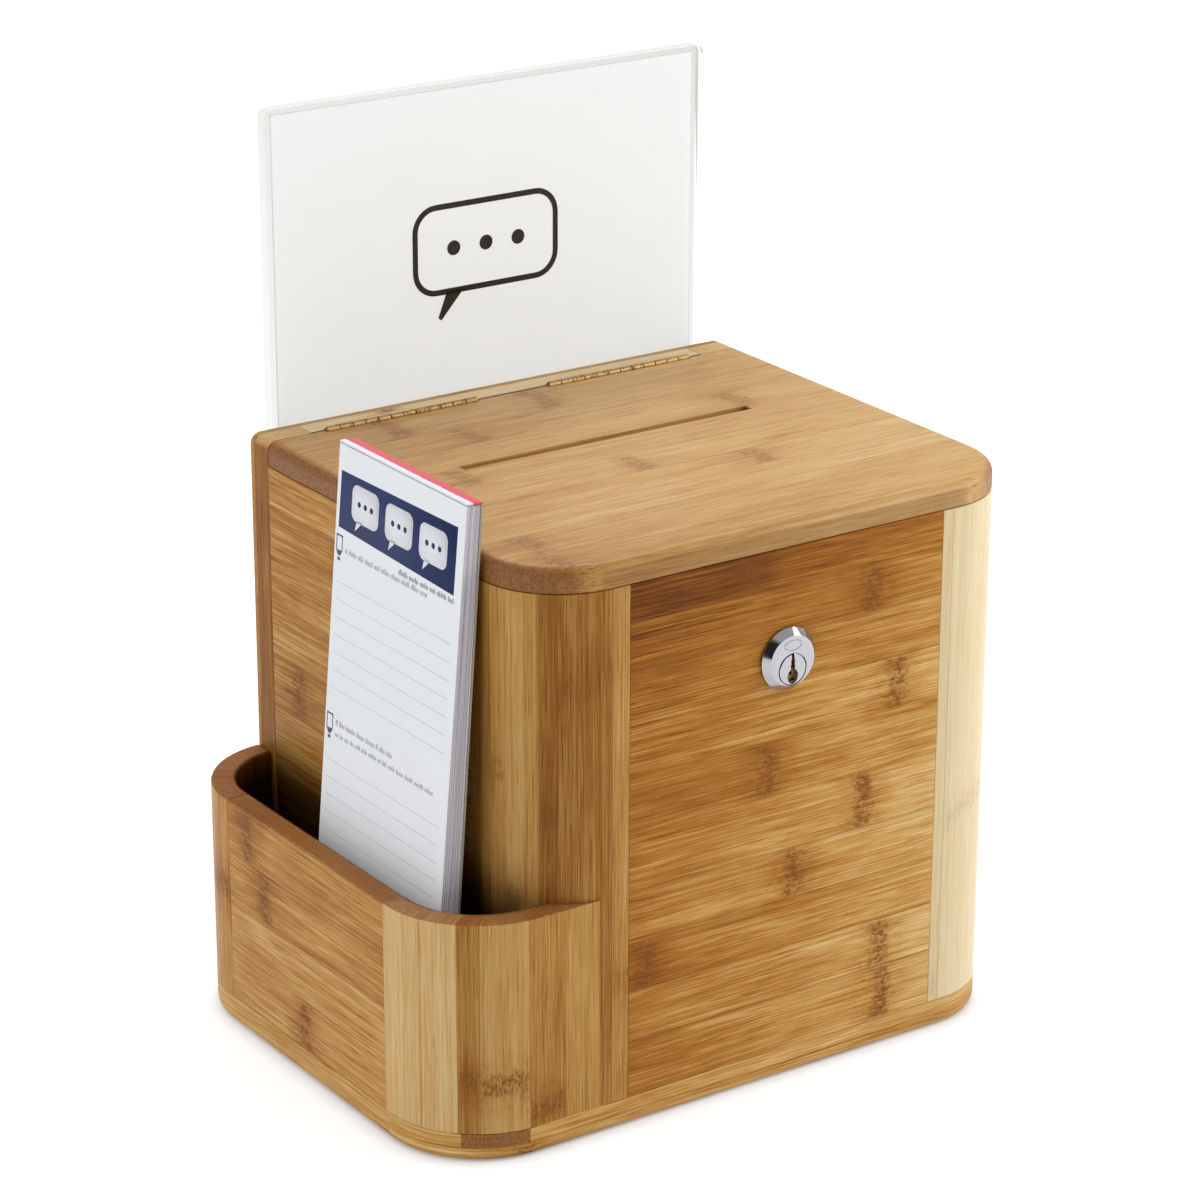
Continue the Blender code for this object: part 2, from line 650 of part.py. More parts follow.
def build_hinges(carrier):
    """Two strip hinges. Gives the cutters for the rail and for the lid."""
    rail_cutters = []
    lid_cutters = []
    for side, start in hinge_starts().items():
        name = "hinge_" + side
        rail_holes = tool(name + "_rail_screw_cutter", together(hinge_screw_holes(start, 1)))
        lid_holes = tool(name + "_lid_screw_cutter", together(hinge_screw_holes(start, -1)))
        rail_cutters += [tool(name + "_rail_recess", hinge_recess(start, 1)), rail_holes]
        lid_cutters += [tool(name + "_lid_recess", hinge_recess(start, -1)), lid_holes]
        leaf(name + "_rail_leaf", start, 1, 0, rail_holes)
        leaf(name + "_lid_leaf", start, -1, 1, lid_holes, carrier)
        end = start + KNUCKLE_PITCH * KNUCKLE_COUNT
        pin = rod(PIN_RADIUS, start, end, (Y_HINGE, BOX_HEIGHT), "X", SCREW_SIDES)
        add(name + "_pin", pin, "brass")
        hinge_screws(name + "_rail", start, 1)
        hinge_screws(name + "_lid", start, -1, carrier)
    return rail_cutters, lid_cutters


def build_lock(carrier):
    """The cam lock: housing and nut on the panel, and the plug, cam and screw that turn."""
    bezel_centre = (X_LOCK, Z_LOCK)
    plug_centre = (X_LOCK, Z_PLUG)
    bezel_front = Y_FRONT - BEZEL_PROUD
    bezel_back = Y_FRONT - SEAT_GAP
    profile = [
        (BEZEL_FACE_RADIUS, bezel_front),
        (BEZEL_RADIUS, bezel_back - BEZEL_RIM),
        (BEZEL_RADIUS, bezel_back),
        (BARREL_RADIUS, bezel_back),
        (BARREL_RADIUS, Y_BARREL_END),
    ]
    housing = add("lock_housing", turned(profile, bezel_centre, "Y", LOCK_SIDES), "chrome")
    plug_front = Y_FRONT - PLUG_PROUD
    flange_back = plug_front + PLUG_FLANGE_THICK
    bore_profile = [
        (PLUG_FLANGE_RADIUS + RUN_GAP, plug_front - OVERRUN),
        (PLUG_FLANGE_RADIUS + RUN_GAP, flange_back + RUN_GAP),
        (PLUG_RADIUS + RUN_GAP, flange_back + RUN_GAP),
        (PLUG_RADIUS + RUN_GAP, Y_BARREL_END + OVERRUN),
    ]
    combine(housing, tool("plug_bore_cutter", turned(bore_profile, plug_centre, "Y", LOCK_SIDES)))

    nut_low = Y_INSIDE + SEAT_GAP
    bore = BARREL_RADIUS + SEAT_GAP
    nut = rod(NUT_RADIUS, nut_low, nut_low + NUT_THICK, bezel_centre, "Y", 6)
    nut_piece = add("lock_nut", nut, "zinc")
    nut_bore = rod(bore, nut_low - OVERRUN, nut_low + NUT_THICK + OVERRUN, bezel_centre, "Y", LOCK_SIDES)
    combine(nut_piece, tool("nut_bore_cutter", nut_bore))

    shoulder = Y_CAM - RUN_GAP
    plug_profile = [
        (PLUG_FLANGE_RADIUS, plug_front),
        (PLUG_FLANGE_RADIUS, flange_back),
        (PLUG_RADIUS, flange_back),
        (PLUG_RADIUS, shoulder),
    ]
    plug = add("lock_plug", turned(plug_profile, plug_centre, "Y", LOCK_SIDES), "chrome", carrier)
    half_tail = TAIL_SIZE / 2
    tail_low = (X_LOCK - half_tail, shoulder - OVERRUN, Z_PLUG - half_tail)
    tail_high = (X_LOCK + half_tail, Y_CAM_BACK, Z_PLUG + half_tail)
    combine(plug, tool("plug_tail", block(tail_low, tail_high)), "UNION")

    eye_centre = (X_LOCK, Z_PLUG - KEYWAY_EYE_DROP)
    keyway_ends = (plug_front - OVERRUN, plug_front + KEYWAY_DEPTH)
    eye = rod(KEYWAY_EYE_RADIUS, *keyway_ends, eye_centre, "Y", SCREW_SIDES)
    combine(plug, tool("keyway_eye_cutter", eye))
    half_width = KEYWAY_WIDTH / 2
    slit_low = (X_LOCK - half_width, keyway_ends[0], eye_centre[1])
    slit_high = (X_LOCK + half_width, keyway_ends[1], Z_PLUG + KEYWAY_HEIGHT / 2)
    combine(plug, tool("keyway_slit_cutter", block(slit_low, slit_high)))

    screw_seat = Y_CAM_BACK + SEAT_GAP
    screw_hole_end = screw_seat - CAM_SCREW_LENGTH - SEAT_GAP
    hole_radius = CAM_SCREW_SHANK + SEAT_GAP
    screw_hole = rod(hole_radius, screw_hole_end, Y_CAM_BACK + OVERRUN, plug_centre, "Y", SCREW_SIDES)
    combine(plug, tool("cam_screw_cutter", screw_hole))

    heel = Z_PLUG - CAM_HEEL + CAM_HALF_WIDTH
    tip = Z_PLUG + CAM_REACH - CAM_HALF_WIDTH
    outline = arc((X_LOCK, heel), CAM_HALF_WIDTH, 180, 360)
    outline += arc((X_LOCK, tip), CAM_HALF_WIDTH, 0, 180)
    cam = add("lock_cam", prism(outline, Y_CAM, Y_CAM_BACK, "Y"), "zinc", carrier)
    half_hole = half_tail + RUN_GAP
    hole_low = (X_LOCK - half_hole, Y_CAM - OVERRUN, Z_PLUG - half_hole)
    hole_high = (X_LOCK + half_hole, Y_CAM_BACK + OVERRUN, Z_PLUG + half_hole)
    combine(cam, tool("cam_hole_cutter", block(hole_low, hole_high)))

    screw_profile = [
        (CAM_SCREW_HEAD, screw_seat + CAM_SCREW_HEAD_THICK),
        (CAM_SCREW_HEAD, screw_seat),
        (CAM_SCREW_SHANK, screw_seat),
        (CAM_SCREW_SHANK, screw_seat - CAM_SCREW_LENGTH),
    ]
    screw = turned(screw_profile, plug_centre, "Y", SCREW_SIDES)
    add("lock_cam_screw", screw, "zinc", carrier)


def build_sign(carrier, screw_cutter):
    """The folded clear holder, its two screws, and the loose sheet that stands on their shanks."""
    low_x = X_MIDDLE - SIGN_WIDTH / 2
    high_x = X_MIDDLE + SIGN_WIDTH / 2
    radius = SIGN_CORNER_RADIUS
    outline = [(low_x, Z_SIGN), (high_x, Z_SIGN)]
    outline += arc((high_x - radius, Z_SIGN_TOP - radius), radius, 0, 90, ROUND_STEPS)
    outline += arc((low_x + radius, Z_SIGN_TOP - radius), radius, 90, 180, ROUND_STEPS)
    holder = add("sign_holder", prism(outline, Y_SIGN, Y_SIGN_BACK, "Y"), "acrylic")
    slot_low = (low_x - OVERRUN, Y_SIGN + SIGN_WALL, Z_SIGN + SIGN_WALL)
    slot_high = (high_x + OVERRUN, Y_SIGN_BACK - SIGN_WALL, Z_SIGN_TOP + OVERRUN)
    combine(holder, tool("sign_slot_cutter", block(slot_low, slot_high)))
    combine(holder, screw_cutter)

    head = Y_SIGN_BACK + SEAT_GAP
    profile = [
        (SIGN_SCREW_HEAD, head + SIGN_SCREW_HEAD_THICK),
        (SIGN_SCREW_HEAD, head),
        (SIGN_SCREW_SHANK, head),
        (SIGN_SCREW_SHANK, Y_BOARD - SIGN_SCREW_INTO_RAIL),
    ]
    for count, x in enumerate(sign_screw_places(), 1):
        add(f"sign_screw_{count}", turned(profile, (x, Z_SIGN_SCREW), "Y", SCREW_SIDES), "zinc")

    sheet_y = (Y_SIGN + Y_SIGN_BACK) / 2
    sheet_low = (X_MIDDLE - SHEET_WIDTH / 2, sheet_y - SHEET_THICK / 2, Z_SHEET)
    sheet_high = (X_MIDDLE + SHEET_WIDTH / 2, sheet_y + SHEET_THICK / 2, Z_SHEET + SHEET_HEIGHT)
    add("insert_sheet", block(sheet_low, sheet_high), "sheet", carrier)


def pad_place():
    """Lean and foot of the pad: its foot meets the pocket's wall and its top clears the lid."""
    into_curve = max(POCKET_FRONT_RADIUS - PAD_FROM_FRONT, 0)
    curve_depth = math.sqrt((POCKET_FRONT_RADIUS - WALL) ** 2 - into_curve ** 2)
    foot_x = X_POCKET + POCKET_FRONT_RADIUS - curve_depth + SEAT_GAP
    room = X_LEFT - SEAT_GAP - foot_x
    diagonal = math.hypot(PAD_LENGTH, PAD_TOP_THICK)
    lean = math.asin(room / diagonal) - math.atan2(PAD_TOP_THICK, PAD_LENGTH)
    foot_z = BASE_THICK + SEAT_GAP + PAD_FOOT_THICK * math.sin(lean)
    return lean, foot_x, foot_z


def pad_point(across, up):
    """A point of the leaning pad's section, from its front face and along that face."""
    lean, foot_x, foot_z = pad_place()
    x = foot_x + across * math.cos(lean) + up * math.sin(lean)
    z = foot_z - across * math.sin(lean) + up * math.cos(lean)
    return (x, z)


def build_pad(carrier):
    """The block of sheets, its cardboard back and the glued binding along its top edge."""
    low_y = Y_FRONT + PAD_FROM_FRONT
    high_y = low_y + PAD_WIDTH
    paper_top = PAD_LENGTH - PAD_BINDING_THICK - SEAT_GAP
    taper = (PAD_FOOT_THICK - PAD_TOP_THICK) / PAD_LENGTH

    def back_at(up):
        return PAD_FOOT_THICK - taper * up

    behind = PAD_BACKING_THICK + SEAT_GAP
    paper = [
        pad_point(0, 0),
        pad_point(back_at(0) - behind, 0),
        pad_point(back_at(paper_top) - behind, paper_top),
        pad_point(0, paper_top),
    ]
    add("pad_paper", prism(paper, low_y, high_y, "Y"), "paper", carrier)
    backing = [
        pad_point(back_at(0) - PAD_BACKING_THICK, 0),
        pad_point(back_at(0), 0),
        pad_point(back_at(paper_top), paper_top),
        pad_point(back_at(paper_top) - PAD_BACKING_THICK, paper_top),
    ]
    add("pad_backing", prism(backing, low_y, high_y, "Y"), "cardboard", carrier)
    binding_foot = PAD_LENGTH - PAD_BINDING_THICK
    binding = [
        pad_point(0, binding_foot),
        pad_point(back_at(binding_foot), binding_foot),
        pad_point(back_at(PAD_LENGTH), PAD_LENGTH),
        pad_point(0, PAD_LENGTH),
    ]
    add("pad_binding", prism(binding, low_y, high_y, "Y"), "binding", carrier)


def build():
    clear_scene()
    lid_axis = axis_empty("lid_axis", (X_MIDDLE, Y_HINGE, BOX_HEIGHT))
    lock_axis = axis_empty("lock_axis", (X_LOCK, Y_FRONT, Z_PLUG))
    sheet_axis = axis_empty("sheet_axis", (X_MIDDLE, (Y_SIGN + Y_SIGN_BACK) / 2, Z_SHEET))
    pad_axis = axis_empty("pad_axis", (pad_place()[1], Y_FRONT + PAD_FROM_FRONT, pad_place()[2]))
    build_base()
    build_walls()
    rail_cutters, lid_cutters = build_hinges(lid_axis)
    sign_cutter = sign_screw_holes("sign_screw_cutter")
    build_back(rail_cutters, sign_cutter)
    build_pocket()
    build_lid(lid_axis, lid_cutters)
    build_lock(lock_axis)
    build_sign(sheet_axis, sign_cutter)
    build_pad(pad_axis)


build()
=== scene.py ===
"""Looks of the laminated bamboo suggestion box: fine surfaces, finishes, light and camera.

Metres, +Z up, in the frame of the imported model. The front faces -Y and the pocket is on the -X side.
Wood is textured by a "grain" attribute, which says where each point lies across the grain, along
it and below the face, measured from the front left corner of the box.
"""

import math
import random

import bmesh
import bpy
from mathutils import Matrix, Vector, noise


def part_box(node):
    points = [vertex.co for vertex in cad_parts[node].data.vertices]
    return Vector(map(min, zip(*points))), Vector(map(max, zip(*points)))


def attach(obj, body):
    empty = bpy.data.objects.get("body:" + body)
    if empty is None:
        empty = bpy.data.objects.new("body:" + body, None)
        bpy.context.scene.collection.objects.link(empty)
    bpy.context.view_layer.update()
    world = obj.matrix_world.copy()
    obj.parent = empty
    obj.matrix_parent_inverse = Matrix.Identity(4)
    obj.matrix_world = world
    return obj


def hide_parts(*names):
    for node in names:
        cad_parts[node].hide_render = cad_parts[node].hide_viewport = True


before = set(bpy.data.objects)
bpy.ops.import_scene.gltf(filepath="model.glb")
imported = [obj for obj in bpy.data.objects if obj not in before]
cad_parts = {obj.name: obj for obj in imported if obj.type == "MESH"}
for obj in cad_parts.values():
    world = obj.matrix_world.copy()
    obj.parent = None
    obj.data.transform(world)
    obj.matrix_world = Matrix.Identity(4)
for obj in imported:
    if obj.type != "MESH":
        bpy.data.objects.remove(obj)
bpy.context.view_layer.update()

MM = 0.001

# Sizes that the fine surfaces share with the model
WALL = 10 * MM
CORNER_RADIUS = 34 * MM
BASE_ROUND = 4 * MM
EDGE_ROUND = 4.5 * MM
LEFT_POST_RUN = 42.5 * MM
RIGHT_POST_RUN = 41.5 * MM
POCKET_FRONT_RADIUS = 41 * MM
POCKET_BACK_RADIUS = 40 * MM
POCKET_FRONT_RUN = 43.5 * MM
POCKET_BACK_RUN = 43 * MM
BACK_CORNER_RADIUS = 5 * MM
SEAT_GAP = 0.3 * MM
KNUCKLE_PITCH = 5.9 * MM
KNUCKLE_COUNT = 12
KNUCKLE_RADIUS = 1.5 * MM
KNUCKLE_BORE = 0.92 * MM
KNUCKLE_GAP = 0.3 * MM
KNUCKLE_EASE = 0.15 * MM
PIN_DOME = 0.25 * MM
HINGE_INSET = 26.8 * MM
LEAF_THICK = 0.7 * MM
LEAF_HEIGHT = 9 * MM
LEAF_FROM_AXIS = 0.15 * MM
PAD_FOOT_THICK = 9.7 * MM
PAD_TOP_THICK = 7 * MM
PAD_LENGTH = 240 * MM
PAD_WIDTH = 89 * MM
PAD_FROM_FRONT = 32 * MM

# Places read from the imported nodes
PANEL_LOW, PANEL_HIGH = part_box("front_panel")
LID_LOW, LID_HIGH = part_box("lid_board")
BASE_LOW, BASE_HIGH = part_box("base_board")
X_LEFT = LID_LOW.x
X_RIGHT = LID_HIGH.x
Y_FRONT = LID_LOW.y
Y_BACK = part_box("back_board")[1].y
X_POCKET = BASE_LOW.x
BASE_THICK = BASE_HIGH.z
BOX_TOP = LID_HIGH.z
Z_WALL_TOP = PANEL_HIGH.z
POCKET_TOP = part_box("pocket_side_panel")[1].z
PIN_LOW, PIN_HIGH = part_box("hinge_left_pin")
Y_HINGE = (PIN_LOW.y + PIN_HIGH.y) / 2
BOX_CORNER = Vector((X_LEFT, Y_FRONT, 0))

# Woodwork
ARC_STEPS = 20  # steps in a round corner
PLY_JOINT = 43 * MM  # the glue line of the base's strips that its rim shows
SLIGHT = 0.3 * MM  # rounding of an edge at a glued joint
EASED = 1.1 * MM  # rounding of a sanded rim
LOCK_HOLE_RADIUS = 10.05 * MM

# The letter slot, from the left side and the front of the box
SLOT_LOW = (46.5 * MM, 118.2 * MM)
SLOT_HIGH = (183.5 * MM, 122.6 * MM)
SLOT_LIP = 0.35 * MM

# Screws: radius and thickness of the head, radius of the shank, and whether it is countersunk
LEAF_SCREW = (1.6 * MM, LEAF_THICK, 0.9 * MM, True)
CAM_SCREW = (4.3 * MM, 2 * MM, 1.3 * MM, False)
KEEPER_SCREW = (2.6 * MM, 1.4 * MM, 1.2 * MM, False)
SIGN_SCREW = (4 * MM, 2 * MM, 1.8 * MM, False)
HEAD_FLAT = 0.45  # share of a domed head's radius that is flat
THREAD_DEPTH = 0.86  # share of the shank's radius at the foot of its thread

# The lock
LOCK_FACE_RADIUS = 10.28 * MM
BEZEL_RADIUS = 12.5 * MM
BARREL_RADIUS = 9.75 * MM
BARREL_THREAD = 0.8 * MM
BARREL_THREAD_FOOT = 9.35 * MM
PLUG_FACE_RADIUS = 6.12 * MM
PLUG_FACE_DEPTH = 1.6 * MM
PLUG_RADIUS = 5 * MM
PLUG_TAIL_HALF = 3 * MM
KEYWAY_DEPTH = 5 * MM
KEY_EYE_DEPTH = 2.4 * MM
KEY_EYE_HALF = (2.45 * MM, 3 * MM)
KEY_EYE_BELOW = 2.75 * MM
KEYWAY = (  # its outline, in mm from the plug's middle
    (-0.6, 6.8), (-0.6, 4.6), (-0.95, 3.4), (-0.75, 2.4), (-1.15, 1.4), (-0.85, 0.4), (-1.2, -0.4),
    (-1.2, -3.0), (1.2, -3.0), (1.2, -0.6), (0.85, 0.2), (1.1, 1.2), (0.8, 2.2), (0.95, 3.4),
    (0.6, 4.6), (0.6, 6.8),
)
# The engraved oval, in mm: half its sizes, how far it lies above the lock's middle, and the section
# of its groove, out from the line and into the face
OVAL_HALF = (3.9, 2.0)
OVAL_ABOVE = 6.3
GROOVE = ((-0.5, -0.3), (0.5, -0.3), (0.1, 0.22), (-0.1, 0.22))

# The sign holder and its sheet
SIGN_WALL = 2 * MM
SIGN_CORNER = 4 * MM
SIGN_HOLE_RADIUS = 2.1 * MM
SHEET_INSET = 0.12 * MM  # the paper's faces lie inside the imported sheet, which leaves room to wave
SHEET_WAVE = 0.12 * MM
SHEET_WAVES = 14  # waves in a metre
BUBBLE_HEIGHT = 84 * MM  # the bubble's middle above the foot of the sheet
BUBBLE_SIZE = (35 * MM, 19 * MM, 11 * MM)  # half its width, half its height, its corners' radius
BUBBLE_LINE = 2.4 * MM

# The note pad
LEAVES = 34
LEAF_SHARE = 0.93  # share of each leaf's room that it fills
SIDE_TRIM, FOOT_TRIM = 0.35, 0.5  # the most that a leaf is short, in mm
PRINT_ROOM = 0.06 * MM  # room for the print ahead of the top leaf
GLUE_THICK = 1.1 * MM
CARD_THICK = 0.8 * MM

# The camera, solved on the photograph
PHOTO_PIXELS = 1200
FOCAL_PIXELS = 4025
CAMERA_PLACE = (-740.84, -1125.79, 730.71)  # mm from the front left corner of the box
CAMERA_RIGHT = (0.825991, -0.563677, 0.002545)
CAMERA_UP = (0.196477, 0.292136, 0.935977)
SENSOR_WIDTH = 36

# The room's dark side: the way to it, how square to that way it starts and is full, and the room's
# strength outside and inside it
DARK_WAY = (-0.50, -0.80, 0.33)
DARK_START_END = (0.80, 0.92)
ROOM_AND_DARK = (0.58, 0.03)

# The floor's own light near the box and far off, and where the box darkens it
FLOOR_NEAR, FLOOR_FAR = 0.69, 0.76
CONTACT_REACH = 10 * MM
CONTACT_DARKEST = 0.28


# ---------------------------------------------------------------- shapes


def arc(centre, radius, start, end, steps=ARC_STEPS):
    """Points along a round corner, from one angle to another in degrees."""
    points = []
    for step in range(steps + 1):
        angle = math.radians(start + (end - start) * step / steps)
        points.append((centre[0] + radius * math.cos(angle), centre[1] + radius * math.sin(angle)))
    return points


def along(axis, height, point):
    """A flat outline's point, set at a height along the axis that the outline lies across."""
    first, second = point
    spots = {"X": (height, first, second), "Y": (first, height, second), "Z": (first, second, height)}
    return spots[axis]


def loft(rings, closed=False):
    """A closed solid through rings of points, capped at both ends or closed on itself."""
    solid = bmesh.new()
    rows = [[solid.verts.new(point) for point in ring] for ring in rings]
    pairs = list(zip(rows, rows[1:]))
    if closed:
        pairs.append((rows[-1], rows[0]))
    else:
        solid.faces.new(list(reversed(rows[0])))
        solid.faces.new(rows[-1])
    for lower, upper in pairs:
        for index in range(len(lower)):
            following = (index + 1) % len(lower)
            solid.faces.new((lower[index], lower[following], upper[following], upper[index]))
    bmesh.ops.recalc_face_normals(solid, faces=solid.faces)
    return solid


def ring_at(axis, height, outline):
    return [along(axis, height, point) for point in outline]


def prism(outline, low, high, axis="Z"):
    return loft([ring_at(axis, height, outline) for height in (low, high)])


def rectangle(low, high):
    return [(low[0], low[1]), (high[0], low[1]), (high[0], high[1]), (low[0], high[1])]


def block(low, high):
    return prism(rectangle(low, high), low[2], high[2])


def ellipse(centre, half_width, half_height, sides):
    points = []
    for side in range(sides):
        angle = 2 * math.pi * side / sides
        x = centre[0] + half_width * math.cos(angle)
        points.append((x, centre[1] + half_height * math.sin(angle)))
    return points


def turned(profile, centre, axis, sides, closed=False):
    """A solid turned about an axis, from a profile of radii and places along that axis."""
    rings = [ring_at(axis, place, ellipse(centre, radius, radius, sides)) for radius, place in profile]
    return loft(rings, closed)


def rod(radius, low, high, centre, axis, sides):
    return turned([(radius, low), (radius, high)], centre, axis, sides)


def joined(solids):
    """Several solids in one mesh."""
    whole = bmesh.new()
    for solid in solids:
        mesh = bpy.data.meshes.new("solid")
        solid.to_mesh(mesh)
        solid.free()
        whole.from_mesh(mesh)
        bpy.data.meshes.remove(mesh)
    return whole


def node_middle(name):
    low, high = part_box(name)
    return (low + high) / 2


def piece_of(name, solid):
    mesh = bpy.data.meshes.new(name)
    solid.to_mesh(mesh)
    solid.free()
    mesh.shade_smooth()
    piece = bpy.data.objects.new(name, mesh)
    bpy.context.scene.collection.objects.link(piece)
    return piece


def crease(piece, angle):
    """Keep edges sharp where faces turn by more than an angle in degrees."""
    piece.data.set_sharp_from_angle(angle=math.radians(angle))


def settle(piece):
    """Turn a piece's modifiers into its mesh."""
    bpy.context.view_layer.update()
    graph = bpy.context.evaluated_depsgraph_get()
    mesh = bpy.data.meshes.new_from_object(piece.evaluated_get(graph))
    old = piece.data
    piece.modifiers.clear()
    piece.data = mesh
    bpy.data.meshes.remove(old)


def cut(piece, solids, operation="DIFFERENCE"):
    """Cut shapes out of a piece, or keep only what it shares with them."""
    for solid in solids:
        shape = piece_of("cutter", solid)
        boolean = piece.modifiers.new("cut", "BOOLEAN")
        boolean.operation = operation
        boolean.solver = "EXACT"
        boolean.object = shape
        settle(piece)
        bpy.data.objects.remove(shape, do_unlink=True)
    piece.data.shade_smooth()


def soften(piece, width, width_at=None, angle=30):
    """Round a piece's edges a little. width_at may give each edge's own width from its middle."""
    mesh = piece.data
    solid = bmesh.new()
    solid.from_mesh(mesh)
    weights = solid.edges.layers.float.new("bevel_weight_edge")
    for edge in solid.edges:
        if len(edge.link_faces) == 2 and edge.calc_face_angle(0) > math.radians(angle):
            middle = (edge.verts[0].co + edge.verts[1].co) / 2
            own = width_at(middle, edge.verts[1].co - edge.verts[0].co) if width_at else width
            edge[weights] = own / width
    solid.to_mesh(mesh)
    solid.free()
    bevel = piece.modifiers.new("bevel", "BEVEL")
    bevel.limit_method = "WEIGHT"
    bevel.offset_type = "OFFSET"
    bevel.width = width
    bevel.segments = 2
    bevel.use_clamp_overlap = True
    bevel.harden_normals = True
    settle(piece)


def place_piece(piece, body, material, replaced=()):
    """Give a piece its finish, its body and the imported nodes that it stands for."""
    piece.data.materials.clear()
    piece.data.materials.append(material)
    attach(piece, body)
    if replaced:
        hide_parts(*replaced)


def creased_piece(name, solid, angle, body, material, replaced=()):
    piece = piece_of(name, solid)
    crease(piece, angle)
    place_piece(piece, body, material, replaced)
    return piece


# ---------------------------------------------------------------- where points lie in the grain


def store_grain(piece, place):
    layer = piece.data.attributes.new("grain", "FLOAT_VECTOR", "POINT")
    for index, vertex in enumerate(piece.data.vertices):
        layer.data[index].vector = place(vertex.co - BOX_CORNER)


def store_edge_grain(piece, outline, flat):
    """Grain of a board whose rim runs on round its outline, in two plies. flat is for its faces."""
    layer = piece.data.attributes.new("grain", "FLOAT_VECTOR", "CORNER")
    lengths = [0.0]
    for point, following in zip(outline, outline[1:] + outline[:1]):
        lengths.append(lengths[-1] + math.dist(point, following))
    count = len(outline)
    for polygon in piece.data.polygons:
        on_seam = any(vertex % count == count - 1 for vertex in polygon.vertices)
        for loop, vertex in zip(polygon.loop_indices, polygon.vertices):
            spot = piece.data.vertices[vertex].co - BOX_CORNER
            if abs(polygon.normal.z) > 0.95:
                layer.data[loop].vector = flat(spot)
                continue
            step = count if on_seam and vertex % count == 0 else vertex % count
            layer.data[loop].vector = (PLY_JOINT + spot.z - BASE_THICK / 2, lengths[step], 0.0)


def straight(across, grain_axis):
    """Grain of a flat board: the axis across its strips, and the axis that they run along."""
    below = 3 - across - grain_axis
    return lambda spot: (spot[across], spot[grain_axis], spot[below])


def bent(corner, toward, radius):
    """Grain of a post whose upright strips go round a corner, unrolled from the side to the front."""
    corner = corner - BOX_CORNER

    def place(spot):
        x = (spot.x - corner.x) * toward[0]
        y = (spot.y - corner.y) * toward[1]
        quarter = radius * math.pi / 2
        if y > radius:
            return (radius - y, spot.z, x)
        if x > radius:
            return (quarter + x - radius, spot.z, y)
        angle = math.atan2(radius - y, radius - x)
        depth = radius - math.hypot(radius - x, radius - y)
        return (radius * angle, spot.z, depth)

    return place


# ---------------------------------------------------------------- materials


